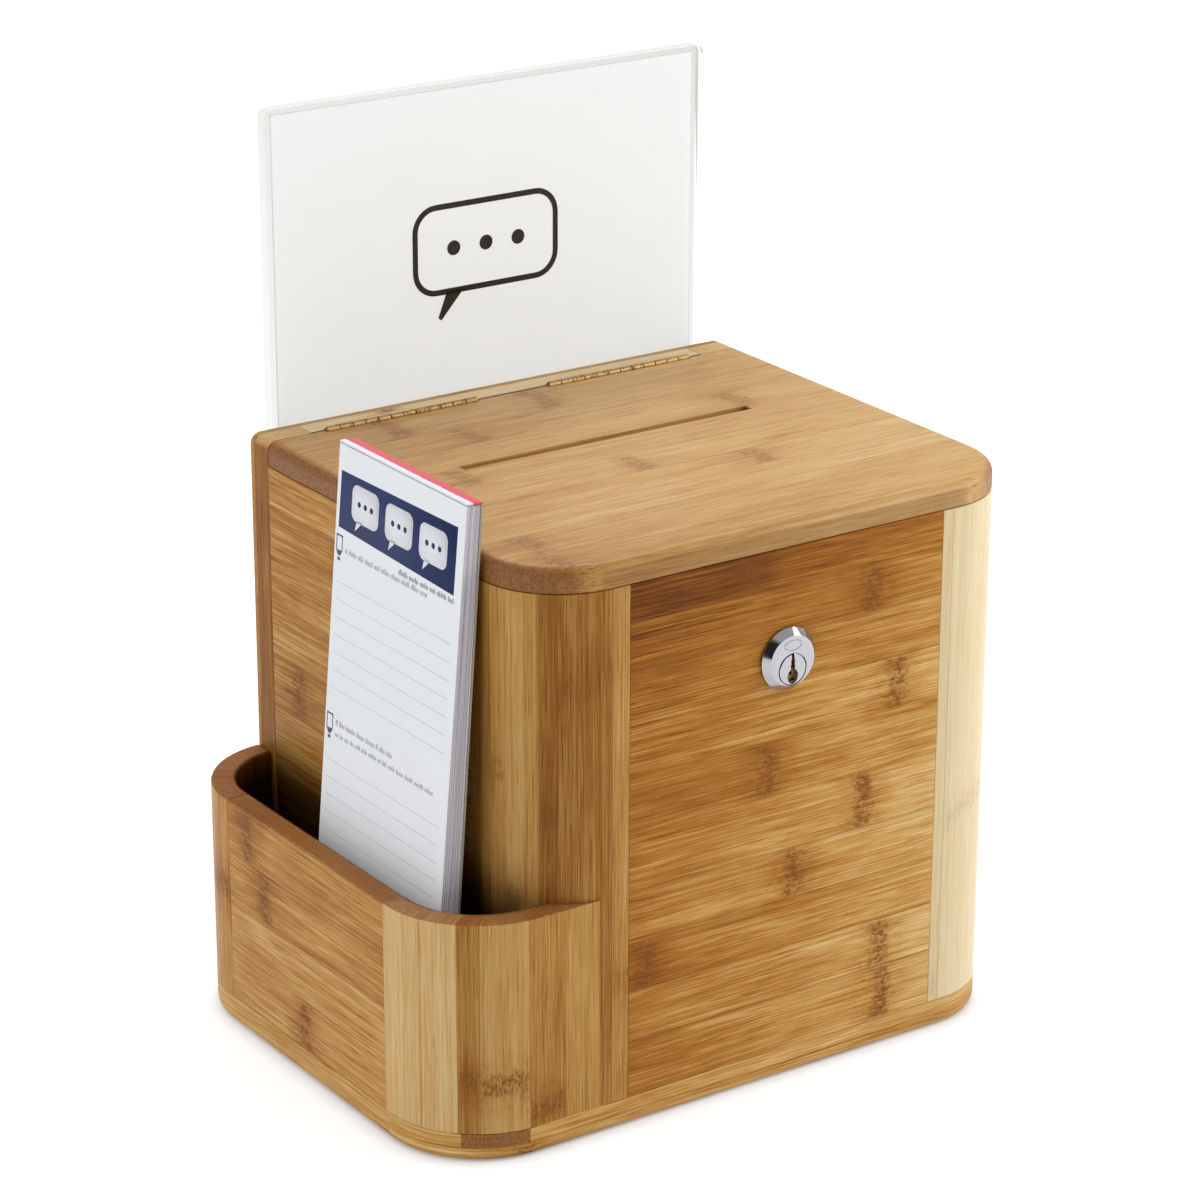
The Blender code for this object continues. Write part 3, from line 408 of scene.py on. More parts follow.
class Shader:
    """Short calls that add nodes to a new material round its Principled shader."""

    def __init__(self, name):
        self.material = bpy.data.materials.new(name)
        self.material.use_nodes = True
        self.tree = self.material.node_tree
        self.surface = self.tree.nodes["Principled BSDF"]

    def node(self, kind, **settings):
        node = self.tree.nodes.new("ShaderNode" + kind)
        for name, value in settings.items():
            setattr(node, name, value)
        return node

    def place(self):
        """Where a point lies in the model, in metres."""
        return self.node("TexCoord").outputs["Object"]

    def feed(self, value, socket):
        if isinstance(value, bpy.types.NodeSocket):
            self.tree.links.new(value, socket)
        else:
            socket.default_value = value

    def set(self, name, value):
        self.feed(value, self.surface.inputs[name])

    def math(self, operation, *values, clamp=False):
        node = self.node("Math", operation=operation, use_clamp=clamp)
        for value, socket in zip(values, node.inputs):
            self.feed(value, socket)
        return node.outputs[0]

    def plus(self, first, second):
        return self.math("ADD", first, second)

    def minus(self, first, second):
        return self.math("SUBTRACT", first, second)

    def times(self, first, second):
        return self.math("MULTIPLY", first, second)

    def scale_add(self, value, factor, addend, clamp=False):
        return self.math("MULTIPLY_ADD", value, factor, addend, clamp=clamp)

    def step(self, value, low, high, first=0.0, last=1.0):
        """A smooth change of a value from first to last, between low and high."""
        node = self.node("MapRange", interpolation_type="SMOOTHSTEP")
        for given, socket in zip((value, low, high, first, last), node.inputs):
            self.feed(given, socket)
        return node.outputs[0]

    def scaled(self, vector, scale):
        node = self.node("VectorMath", operation="MULTIPLY")
        self.feed(vector, node.inputs[0])
        node.inputs[1].default_value = scale
        return node.outputs[0]

    def moved(self, vector, amount):
        """A vector moved by one amount along all three axes."""
        node = self.node("VectorMath", operation="ADD")
        self.feed(vector, node.inputs[0])
        self.feed(amount, node.inputs[1])
        return node.outputs[0]

    def noise(self, vector, sizes, detail=2.0, roughness=0.5, distortion=0.0):
        """Noise with its own number of waves in a metre along each axis."""
        node = self.node("TexNoise")
        self.feed(self.scaled(vector, sizes), node.inputs["Vector"])
        node.inputs["Scale"].default_value = 1.0
        node.inputs["Detail"].default_value = detail
        node.inputs["Roughness"].default_value = roughness
        node.inputs["Distortion"].default_value = distortion
        return node.outputs["Fac"]

    def ramp(self, value, stops, interpolation="LINEAR"):
        node = self.node("ValToRGB")
        ramp = node.color_ramp
        ramp.interpolation = interpolation
        for index, (place, colour) in enumerate(stops):
            element = ramp.elements[index] if index < 2 else ramp.elements.new(place)
            element.position = place
            element.color = (*colour, 1)
        self.feed(value, node.inputs[0])
        return node.outputs["Color"]

    def mix(self, share, first, second, blend="MIX"):
        node = self.node("Mix", data_type="RGBA", blend_type=blend)
        self.feed(share, node.inputs["Factor"])
        for value, socket in ((first, node.inputs[6]), (second, node.inputs[7])):
            self.feed(value if isinstance(value, bpy.types.NodeSocket) else (*value, 1), socket)
        return node.outputs[2]

    def split(self, vector):
        node = self.node("SeparateXYZ")
        self.feed(vector, node.inputs[0])
        return node.outputs

    def within(self, limits, below=None):
        """How far a point is inside limits: each one's axis, its sign, and its start and end in mm.

        The axis "below" is the depth under the face, which is then given as below.
        """
        spot = self.split(self.place())
        inside = 1.0
        for axis, sign, first, last in limits:
            if axis == "below":
                past = self.times(below, sign)
            else:
                index = "XYZ".index(axis)
                past = self.times(self.minus(spot[index], BOX_CORNER[index]), sign)
            inside = self.times(inside, self.step(past, first * MM, last * MM))
        return inside

    def bump(self, height, strength, distance):
        node = self.node("Bump")
        node.inputs["Strength"].default_value = strength
        node.inputs["Distance"].default_value = distance
        self.feed(height, node.inputs["Height"])
        self.set("Normal", node.outputs["Normal"])


# Bamboo colours from the darkest fibres to the palest
AMBER = (
    (0.0, (0.118, 0.030, 0.002)),
    (0.25, (0.262, 0.086, 0.006)),
    (0.5, (0.402, 0.170, 0.024)),
    (0.75, (0.566, 0.322, 0.094)),
    (1.0, (0.705, 0.515, 0.250)),
)
HONEY = (
    (0.0, (0.140, 0.042, 0.005)),
    (0.25, (0.290, 0.112, 0.016)),
    (0.5, (0.445, 0.238, 0.060)),
    (0.75, (0.565, 0.356, 0.138)),
    (1.0, (0.690, 0.510, 0.265)),
)
CREAM = (
    (0.0, (0.260, 0.130, 0.040)),
    (0.25, (0.420, 0.260, 0.100)),
    (0.5, (0.550, 0.395, 0.190)),
    (0.75, (0.640, 0.500, 0.285)),
    (1.0, (0.720, 0.605, 0.400)),
)
KNOT_COLOUR = (0.190, 0.058, 0.008)
GLUE_COLOUR = (0.150, 0.058, 0.016)
KNOT_SPAN = 0.6  # metres that one table value of a knot's place covers
KNOT_BEFORE = 0.2


def bamboo(
    name, strips, start, grain_axis, palette=AMBER, lift=0.0, drift=0.0, streaks=1.0, knots=1.0,
    gloss=0.10, ends=(0.62, (0.250, 0.100, 0.030), 1.9), end_axis=None, seed=0, patch=None, dark=(),
):
    """Laminated bamboo. strips lists each strip's far edge in mm, its tone and where its knots lie.

    start is where the first strip begins, in mm. grain_axis is the axis that the fibres follow.
    drift is painted light: how much the tone rises along a metre of the grain, so that the wood is
    lighter towards the right, where the light falls. ends gives how far the end grain takes on a
    colour of its own, that colour, and how many times as bright its palest pores are.
    end_axis is the way that such faces look, where it isn't along the grain.
    patch bounds a darker block let into the wood, and dark bounds painted shade: wood darkened
    where shade falls, in the pocket or in a seam. Both list limits: each one's axis, its sign, and
    where the change starts and ends in mm.
    """
    s = Shader(name)
    attribute = s.node("Attribute", attribute_name="grain")
    grain = attribute.outputs["Vector"]
    across, lengthwise, below = s.split(grain)
    total = strips[-1][0] - start
    tones = []
    edges = []
    chance = random.Random(seed)
    low = start
    for high, tone, knot_places in strips:
        places = [(knot * MM + KNOT_BEFORE) / KNOT_SPAN for knot in knot_places] + [0.0, 0.0]
        share = (low - start) / total
        tones.append((share, (tone, places[0], places[1])))
        edges.append((share, (share, (high - start) / total, chance.random())))
        low = high
    share = s.math("DIVIDE", s.minus(across, start * MM), total * MM, clamp=True)
    tone, first_knot, second_knot = s.split(s.ramp(share, tones, "CONSTANT"))
    from_share, to_share, chosen = s.split(s.ramp(share, edges, "CONSTANT"))

    # How far a point is from the glue lines beside its strip, in metres
    nearest = s.math("MINIMUM", s.minus(share, from_share), s.minus(to_share, share))
    from_glue = s.times(nearest, total * MM)
    glue = s.step(from_glue, 0.0, 0.4 * MM, 1.0, 0.0)

    # Fibres that wander a little, each strip with its own
    own = s.moved(grain, s.scale_add(chosen, 7.3, seed * 0.37))
    wobble = s.noise(own, (9, 11, 9), detail=2.0)
    bent_grain = s.moved(own, s.scale_add(wobble, 1.8 * MM, -0.9 * MM))
    fibre = s.noise(bent_grain, (1500, 15, 1500), detail=3.0, roughness=0.6)
    fine = s.noise(bent_grain, (3000, 60, 3000), detail=2.0)
    dash = s.noise(bent_grain, (1500, 45, 1500), detail=1.0)
    streak = s.noise(bent_grain, (380, 7, 380), detail=3.0, roughness=0.6)
    cloud = s.noise(own, (75, 17, 75), detail=3.0, roughness=0.6, distortion=0.6)

    # Knots: a fuzzy band across the strip, arched, with flecks in it and darker fibres beside it
    wander = s.noise(own, (210, 210, 210), detail=2.5)
    middle = s.minus(share, s.times(s.plus(from_share, to_share), 0.5))
    arch = s.times(s.times(middle, middle), (total * MM) ** 2 * 18)
    coarse = s.noise(own, (800, 330, 800), detail=3.0, roughness=0.75)
    flecks = s.step(coarse, 0.42, 0.57)
    bands = []
    halos = []
    for knot in (first_knot, second_knot):
        place = s.scale_add(knot, KNOT_SPAN, -KNOT_BEFORE)
        gap = s.plus(s.minus(lengthwise, place), arch)
        gap = s.plus(gap, s.scale_add(wander, 8 * MM, -4 * MM))
        gap = s.math("ABSOLUTE", gap)
        bands.append(s.step(gap, 1.4 * MM, 6.8 * MM, 1.0, 0.0))
        halos.append(s.step(gap, 3 * MM, 19 * MM, 1.0, 0.0))
    inner = s.step(from_glue, 0.2 * MM, 2.2 * MM, 0.25, 1.0)
    band = s.times(s.math("MAXIMUM", *bands), inner)
    halo = s.math("MAXIMUM", *halos)
    knot_dark = s.times(band, s.scale_add(flecks, 0.74, 0.26))
    halo_dark = s.times(halo, s.step(coarse, 0.5, 0.66, 0.0, 1.0))

    # Tone of the wood before its knots
    value = lift
    for part, weight in ((fibre, 0.95), (fine, 0.6), (streak, 0.5), (cloud, 0.46)):
        value = s.scale_add(s.minus(part, 0.5), weight * streaks, value)
    value = s.plus(value, tone)
    # Painted light: the tone rises along the grain by drift, lighter towards the right
    value = s.scale_add(s.minus(lengthwise, 0.1), drift, value)
    value = s.scale_add(halo, -0.10 * knots, value)
    value = s.scale_add(s.step(dash, 0.60, 0.70), -0.20 * streaks, value)
    colour = s.ramp(value, palette)
    colour = s.mix(s.times(halo_dark, 0.4 * knots), colour, KNOT_COLOUR)
    colour = s.mix(s.times(knot_dark, 0.86 * knots), colour, KNOT_COLOUR)
    colour = s.mix(s.times(glue, 0.35), colour, GLUE_COLOUR)

    # End grain, where a face looks along the fibres
    facing = s.node("TexCoord").outputs["Normal"]
    square_on = s.math("ABSOLUTE", s.split(facing)["XYZ".index(end_axis or grain_axis)])
    end = s.step(square_on, 0.2, 0.75)
    pores = s.noise(own, (1100, 1100, 1100), detail=2.0, roughness=0.6)
    end_light = tuple(ends[2] * part for part in ends[1])
    end_colour = s.mix(s.step(pores, 0.40, 0.64), ends[1], end_light)
    colour = s.mix(s.times(end, ends[0]), colour, end_colour)

    if patch:
        inside = s.within(patch)
        patch_colour = s.mix(s.step(pores, 0.35, 0.7), (0.170, 0.058, 0.016), (0.290, 0.120, 0.045))
        colour = s.mix(s.times(inside, 0.85), colour, patch_colour)
    # Painted shade: wood within the dark limits is darkened where shade falls, in the pocket or in a
    # seam
    if dark:
        painted_shade_colour = s.mix(1.0, colour, (0.10, 0.085, 0.07), "MULTIPLY")
        colour = s.mix(s.within(dark, below), colour, painted_shade_colour)
    s.set("Base Color", colour)

    # Satin lacquer that the fibres and the knots still show in
    rough = 0.27
    for part, weight in ((fibre, 0.16), (knot_dark, 0.1), (end, 0.12)):
        rough = s.scale_add(part, weight, rough)
    s.set("Roughness", rough)
    s.set("IOR", 1.5)
    s.set("Specular IOR Level", gloss)
    height = s.scale_add(fibre, 0.5, s.times(knot_dark, -0.5))
    height = s.scale_add(glue, -0.9, height)
    s.bump(height, 0.35, 0.05 * MM)
    return s.material


def metal(name, colour, roughness, scratches, spots=0.0, dark=(0.1, 0.06, 0.03), bump=0.12):
    """Plated or bare metal with fine wear in its shine and, on old brass, dark spots."""
    s = Shader(name)
    spot = s.place()
    wear = s.noise(spot, (900, 900, 900), detail=4.0, roughness=0.7)
    lines = s.noise(spot, (300, 4200, 4200), detail=2.0)
    stain = s.noise(spot, (520, 520, 520), detail=3.0)
    s.set("Base Color", s.mix(s.step(stain, 0.45, 0.72, 0.0, spots), colour, dark))
    rough = s.scale_add(wear, scratches, roughness)
    s.set("Roughness", s.scale_add(lines, scratches * 0.5, rough))
    s.set("Metallic", 1.0)
    s.bump(s.plus(wear, lines), bump, 0.01 * MM)
    return s.material


def paper(name, colour, shade, roughness=0.72, glow=0.0, rim=None):
    """Paper or card: a faint cloudy tone, fine fibres and a soft bump.

    glow is painted light, a glow of the paper's own that lifts its tone. It fades at the edges of a
    sheet whose lowest and highest corners are given as rim, which paints a thin shadow line there.
    """
    s = Shader(name)
    spot = s.place()
    cloud = s.noise(spot, (45, 45, 45), detail=3.0)
    fibres = s.noise(spot, (2600, 900, 2600), detail=3.0, roughness=0.7)
    amount = s.scale_add(fibres, 0.5, s.times(cloud, 0.5))
    s.set("Base Color", s.mix(s.step(amount, 0.25, 0.75), colour, shade))
    s.set("Roughness", s.scale_add(fibres, 0.12, roughness))
    s.bump(fibres, 0.2, 0.02 * MM)
    s.set("Emission Color", (1, 1, 1, 1))
    # Painted shade: less glow along the sheet's edges, a thin shadow line round it
    if rim:
        parts = s.split(spot)
        nearest = 1.0
        for axis in (0, 2):
            for gap in (s.minus(parts[axis], rim[0][axis]), s.minus(rim[1][axis], parts[axis])):
                nearest = s.math("MINIMUM", gap, nearest)
        glow = s.step(nearest, 0.1 * MM, 0.6 * MM, 0.6 * glow, glow)
    s.set("Emission Strength", glow)
    return s.material


def page_edges(name):
    """The cut edges of the pad's sheets: thin grey lines that follow the sheets."""
    s = Shader(name)
    spot = s.place()
    lean = s.node("VectorRotate", rotation_type="Y_AXIS")
    s.feed(spot, lean.inputs["Vector"])
    lean.inputs["Angle"].default_value = -pad_place()[0]
    lines = s.noise(lean.outputs[0], (5200, 6, 9), detail=3.0, roughness=0.8)
    bands = s.noise(lean.outputs[0], (900, 4, 5), detail=2.0)
    value = s.plus(s.times(lines, 0.6), s.times(bands, 0.5))
    greys = ((0.36, (0.20, 0.17, 0.18)), (0.52, (0.44, 0.40, 0.43)), (0.68, (0.70, 0.67, 0.71)))
    s.set("Base Color", s.ramp(value, greys))
    s.set("Roughness", s.scale_add(lines, 0.2, 0.65))
    s.bump(lines, 0.5, 0.05 * MM)
    return s.material


def ink(name, colour):
    """Print on paper: an even ink film with slight mottling."""
    s = Shader(name)
    spot = s.place()
    mottle = s.noise(spot, (1400, 1400, 1400), detail=3.0)
    pale = tuple(0.9 * part + 0.1 * 0.7 for part in colour)
    s.set("Base Color", s.mix(s.step(mottle, 0.5, 0.8, 0.0, 0.5), colour, pale))
    s.set("Roughness", s.scale_add(mottle, 0.15, 0.55))
    s.set("Specular IOR Level", 0.2)
    return s.material


def clear_acrylic(name, tint, gloss_share, milk, glow=0.0):
    """Clear plastic: it lets light straight through, shines, and is milky at cut edges.

    glow is painted light at a cut edge, standing in for the light that the plastic carries there.
    """
    s = Shader(name)
    spot = s.place()
    smudge = s.noise(spot, (28, 28, 28), detail=4.0, roughness=0.6)
    scuff = s.noise(spot, (700, 60, 700), detail=3.0)
    s.set("Base Color", (*tint, 1))
    s.set("IOR", 1.49)
    s.set("Roughness", s.scale_add(smudge, 0.12, 0.04))
    alpha = s.scale_add(s.step(scuff, 0.62, 0.8), 0.012, milk)
    fresnel = s.node("Fresnel")
    fresnel.inputs["IOR"].default_value = 1.49
    s.set("Alpha", s.scale_add(fresnel.outputs[0], gloss_share, alpha, clamp=True))
    s.set("Emission Color", (0.94, 1.0, 0.93, 1))
    s.set("Emission Strength", glow)
    return s.material


# ---------------------------------------------------------------- wood


def rounded_levels(side, face, radius):
    """Heights and insets that carry a board's side round to its flat face."""
    way = 1 if face > side else -1
    levels = []
    for step in range(8):
        angle = math.pi / 2 * step / 7
        levels.append((face - way * radius * (1 - math.sin(angle)), radius * (1 - math.cos(angle))))
    return levels


def board(outline_at, levels):
    return loft([ring_at("Z", height, outline_at(inset)) for height, inset in levels])


def base_outline(inset):
    points = []
    corners = (
        (X_POCKET, Y_FRONT, POCKET_FRONT_RADIUS, 180),
        (X_RIGHT, Y_FRONT, CORNER_RADIUS, 270),
        (X_RIGHT, Y_BACK, BACK_CORNER_RADIUS, 0),
        (X_POCKET, Y_BACK, POCKET_BACK_RADIUS, 90),
    )
    for x, y, radius, start in corners:
        centre = (x + math.copysign(radius, -x), y + math.copysign(radius, -y))
        points += arc(centre, radius - inset, start, start + 90)
    return points


def lid_outline(inset):
    radius = CORNER_RADIUS - inset
    back = LID_HIGH.y
    points = [(X_LEFT + inset, back)]
    points += arc((X_LEFT + CORNER_RADIUS, Y_FRONT + CORNER_RADIUS), radius, 180, 270)
    points += arc((X_RIGHT - CORNER_RADIUS, Y_FRONT + CORNER_RADIUS), radius, 270, 360)
    points += [(X_RIGHT - inset, back)]
    return points


def bent_wall(corner, toward, radius, run):
    """The section of a wall that turns an outer corner and runs on equally far both ways."""
    points = [(0, run)]
    points += arc((radius, radius), radius, 180, 270)
    points += [(run, 0), (run, WALL)]
    points += arc((radius, radius), radius - WALL, 270, 180)
    points += [(WALL, run)]
    return [(corner[0] + toward[0] * x, corner[1] + toward[1] * y) for x, y in points]


def pocket_front_outline():
    """The pocket's front corner, which tapers out against the box's rounded post."""
    pocket_centre = (X_POCKET + POCKET_FRONT_RADIUS, Y_FRONT + POCKET_FRONT_RADIUS)
    post_centre = (X_LEFT + CORNER_RADIUS, Y_FRONT + CORNER_RADIUS)
    clear_radius = CORNER_RADIUS + SEAT_GAP
    tip = 270 - math.degrees(math.acos(CORNER_RADIUS / clear_radius))
    inside = 270 - math.degrees(math.acos((CORNER_RADIUS - WALL) / clear_radius))
    points = [(X_POCKET, Y_FRONT + POCKET_FRONT_RUN)]
    points += arc(pocket_centre, POCKET_FRONT_RADIUS, 180, 270)
    points += arc(post_centre, clear_radius, tip, inside)
    points += arc(pocket_centre, POCKET_FRONT_RADIUS - WALL, 270, 180)
    points += [(X_POCKET + WALL, Y_FRONT + POCKET_FRONT_RUN)]
    return points


def pocket_back_outline():
    """The pocket's back corner, which ends against the box's left side."""
    centre = (X_POCKET + POCKET_BACK_RADIUS, Y_BACK - POCKET_BACK_RADIUS)
    reach = centre[0] - (X_LEFT - SEAT_GAP)
    inner_radius = POCKET_BACK_RADIUS - WALL
    outer_end = 180 - math.degrees(math.acos(reach / POCKET_BACK_RADIUS))
    inner_end = 180 - math.degrees(math.acos(reach / inner_radius))
    points = [(X_POCKET, Y_BACK - POCKET_BACK_RUN)]
    points += arc(centre, POCKET_BACK_RADIUS, 180, outer_end)
    points += arc(centre, inner_radius, inner_end, 180)
    points += [(X_POCKET + WALL, Y_BACK - POCKET_BACK_RUN)]
    return points


def hinge_starts():
    length = KNUCKLE_PITCH * KNUCKLE_COUNT
    return {"left": X_LEFT + HINGE_INSET, "right": X_RIGHT - HINGE_INSET - length}


def hinge_recess(start, way):
    """The recess for one leaf and its knuckles, on one side of the seam behind the lid."""
    leaf_face = Y_HINGE + way * (LEAF_FROM_AXIS + LEAF_THICK + SEAT_GAP)
    knuckle_face = Y_HINGE + way * (KNUCKLE_RADIUS + SEAT_GAP)
    open_side = Y_HINGE - way * 2 * MM
    leaf_bottom = BOX_TOP - LEAF_HEIGHT - SEAT_GAP
    knuckle_bottom = BOX_TOP - KNUCKLE_RADIUS - SEAT_GAP
    section = [
        (open_side, leaf_bottom),
        (leaf_face, leaf_bottom),
        (leaf_face, knuckle_bottom),
        (knuckle_face, knuckle_bottom),
        (knuckle_face, BOX_TOP + 2 * MM),
        (open_side, BOX_TOP + 2 * MM),
    ]
    length = KNUCKLE_PITCH * KNUCKLE_COUNT
    return prism(section, start - SEAT_GAP, start + length + SEAT_GAP, "X")


# Limits in mm: below the pocket's rim and the base under the pocket, where shade is painted into
# the wood, and the darker block let into the base's front corner
POCKET_PAINTED_SHADE = (("Z", -1, -112, -84),)
POCKET_FLOOR_PAINTED_SHADE = (("Z", 1, 11.6, 11.9), ("X", -1, -2, 2), ("X", 1, -29, -28))
BASE_BLOCK = (
    ("X", 1, -26.1, -25.85), ("X", -1, 1.7, 1.95), ("Y", 1, -5.1, -4.85), ("Y", -1, -40.1, -39.85),
    ("Z", 1, 5.9, 6.15), ("Z", -1, -13.1, -12.85),
)

# Each strip: its far edge in mm, its tone, and where its knots lie along it in mm
# The top strips are darker partly in their own tone and partly as painted shade under the lid
PANEL_STRIPS = (
    (35, 0.57, (165,)), (56, 0.60, (163,)), (76, 0.52, (51,)), (97, 0.60, (120,)),
    (121, 0.60, (153,)), (144, 0.50, (107,)), (166, 0.53, (168,)), (186, 0.45, ()),
    (205, 0.37, (155,)), (221, 0.22, (97,)),
)
LID_STRIPS = (
    (20, 0.48, (19,)), (42, 0.53, (21,)), (60, 0.57, ()), (78, 0.53, (151,)), (98, 0.55, (106,)),
    (120, 0.50, (41,)), (142, 0.52, (186,)), (163, 0.48, (71,)), (190, 0.49, (121, 50)),
)
RAIL_STRIPS = ((195, 0.94, (150,)), (204, 0.96, (60,)))
# The middle strips are darker partly in their own tone and partly as painted shade from the pad and the
# post's curve
LEFT_POST_STRIPS = (
    (4, 0.42, ()), (12, 0.48, (150,)), (20, 0.56, (98,)), (25.5, 0.46, ()), (32.5, 0.26, (134,)),
    (40, 0.33, (186,)), (54, 0.31, ()), (65, 0.46, (62,)), (69.5, 0.64, ()), (83.5, 0.48, (30,)),
    (97, 0.58, (110,)),
)
RIGHT_POST_STRIPS = ((14, 0.80, ()), (56, 0.86, (96,)), (65, 0.74, (20,)))
POCKET_PANEL_STRIPS = (
    (33, 0.52, (104,)), (54, 0.56, ()), (76, 0.46, (134,)), (98, 0.46, (146,)),
)
POCKET_FRONT_STRIPS = (
    (17.5, 0.76, ()), (32.5, 0.80, ()), (41, 0.36, (34,)), (60.5, 0.60, (32,)), (76.4, 0.43, (19,)),
    (92, 0.50, ()),
)
POCKET_BACK_STRIPS = ((14, 0.52, (60,)), (30, 0.42, ()), (48, 0.56, (25,)), (80, 0.48, ()))
SIDE_STRIPS = (
    (34, 0.46, (120,)), (55, 0.52, (60,)), (77, 0.44, (150,)), (98, 0.50, ()), (120, 0.48, (96,)),
    (142, 0.42, (170,)), (163, 0.50, ()), (184, 0.46, (60,)), (204, 0.40, (130,)), (221, 0.48, ()),
)
BACK_STRIPS = (
    (32, 0.50, (60,)), (54, 0.44, (170,)), (75, 0.55, (110,)), (97, 0.50, (30, 210)),
    (118, 0.46, (140,)), (140, 0.54, (85,)), (161, 0.49, (190,)), (183, 0.52, (55,)),
    (204, 0.45, (150,)), (231, 0.53, (100, 222)),
)
BACK_POST_STRIPS = ((8, 0.32, ()), (14, 0.20, ()), (20, 0.40, (140,)), (240, 0.46, (70,)))
BASE_STRIPS = (
    (21, 0.66, (118,)), (43, 0.58, (60,)), (64, 0.60, ()), (86, 0.55, ()), (108, 0.60, (20,)),
    (129, 0.56, (140,)), (151, 0.54, ()), (172, 0.58, (90,)), (204, 0.55, ()),
)


def wood_piece(name, solid, place, material, width_at=None, cuts=(), width=SLIGHT):
    piece = piece_of(name + "_wood", solid)
    if cuts:
        cut(piece, cuts)
    soften(piece, width, width_at)
    store_grain(piece, place)
    place_piece(piece, "box", material, (name,))


def front_post(side, x, way, run, material):
    """A front post, whose upright strips go round the corner of the box."""
    corner = Vector((x, Y_FRONT, 0))
    solid = prism(bent_wall(corner, (way, 1), CORNER_RADIUS, run), BASE_THICK, Z_WALL_TOP)
    wood_piece(f"front_{side}_post", solid, bent(corner, (way, 1), CORNER_RADIUS), material)


def build_base():
    levels = [(BASE_THICK, SLIGHT), (BASE_THICK - SLIGHT, 0)]
    levels += rounded_levels(BASE_THICK / 2, 0, BASE_ROUND)
    piece = piece_of("base_board_wood", board(base_outline, levels))
    crease(piece, 40)
    store_edge_grain(piece, base_outline(0), straight(1, 0))
    # The base's floor in the pocket is darkened: painted shade
    material = bamboo(
        "bamboo_base", BASE_STRIPS, 0, "X", lift=0.10, seed=3, patch=BASE_BLOCK,
        ends=(0.0, (0.300, 0.125, 0.035), 1.9), dark=POCKET_FLOOR_PAINTED_SHADE,
    )
    place_piece(piece, "box", material, ("base_board",))


def build_walls():
    """Front panel, posts, sides and back of the box."""
    # drift paints light on the panel: it is lighter towards the right, where the light falls
    material = bamboo("bamboo_front", PANEL_STRIPS, 12, "X", drift=2.3, streaks=0.88, seed=1)
    nut = node_middle("lock_nut")
    hole = rod(LOCK_HOLE_RADIUS, PANEL_LOW.y - MM, PANEL_HIGH.y + MM, (nut.x, nut.z), "Y", 48)
    solid = block(PANEL_LOW, PANEL_HIGH)
    wood_piece("front_panel", solid, straight(2, 0), material, cuts=[hole])

    # The left post is darkened where it faces into the pocket: painted shade
    material = bamboo(
        "bamboo_left_post", LEFT_POST_STRIPS, -9, "Z", HONEY, streaks=0.66, knots=0.5, seed=4,
        dark=POCKET_PAINTED_SHADE + (("X", -1, -16, -6), ("Y", 1, 12, 20)),
    )
    front_post("left", X_LEFT, 1, LEFT_POST_RUN, material)
    material = bamboo(
        "bamboo_right_post", RIGHT_POST_STRIPS, -8, "Z", CREAM, streaks=0.5, knots=0.18, seed=5,
        ends=(0.6, (0.420, 0.270, 0.110), 1.4),
    )
    front_post("right", X_RIGHT, -1, RIGHT_POST_RUN, material)

    # The left side panel is darkened inside the pocket: painted shade
    for side, seed, dark in (("left", 6, POCKET_PAINTED_SHADE + (("X", -1, -2, -1),)), ("right", 7, ())):
        name = f"{side}_side_panel"
        material = bamboo(f"bamboo_{side}_side", SIDE_STRIPS, 12, "Y", lift=0.09, seed=seed, dark=dark)
        wood_piece(name, block(*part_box(name)), straight(2, 1), material)

    for side, toward, seed in (("left", 1, 8), ("right", -1, 9)):
        low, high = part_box(f"back_{side}_post")
        outer, inner = (low.x, high.x) if toward > 0 else (high.x, low.x)
        turn = (outer + toward * EDGE_ROUND, BOX_TOP - EDGE_ROUND)
        outline = [(inner, BASE_THICK), (outer, BASE_THICK)]
        outline += arc(turn, EDGE_ROUND, 180 if toward > 0 else 0, 90, 8)
        outline += [(inner, BOX_TOP)]
        solid = prism(outline, low.y, high.y, "Y")
        material = bamboo(
            f"bamboo_back_{side}_post", BACK_POST_STRIPS, 0, "Z", lift=0.07, seed=seed,
            ends=(0.9, (0.510, 0.335, 0.150), 1.15),
        )
        wood_piece(f"back_{side}_post", solid, straight(0, 2), material)

    low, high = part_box("back_board")
    outline = [(X_RIGHT, BASE_THICK)]
    outline += arc((X_RIGHT - EDGE_ROUND, BOX_TOP - EDGE_ROUND), EDGE_ROUND, 0, 90, 8)
    outline += arc((X_LEFT + EDGE_ROUND, BOX_TOP - EDGE_ROUND), EDGE_ROUND, 90, 180, 8)
    outline += [(X_LEFT, BASE_THICK)]
    material = bamboo("bamboo_back", BACK_STRIPS, 12, "X", HONEY, lift=0.14, streaks=0.8, seed=10)
    wood_piece("back_board", prism(outline, low.y, high.y, "Y"), straight(2, 0), material)

    low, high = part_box("hinge_rail")
    seam = (low.y - Y_FRONT) / MM
    # A thin dark line on the rail along the seam behind the lid: painted shade in the gap
    material = bamboo(
        "bamboo_rail", RAIL_STRIPS, 189, "X", HONEY, streaks=0.8, gloss=0.3, seed=11,
        dark=(("Y", -1, -seam - 0.9, -seam - 0.5),),
    )
    cuts = [hinge_recess(start, 1) for start in hinge_starts().values()]
    wood_piece("hinge_rail", block(low, high), straight(1, 0), material, cuts=cuts)


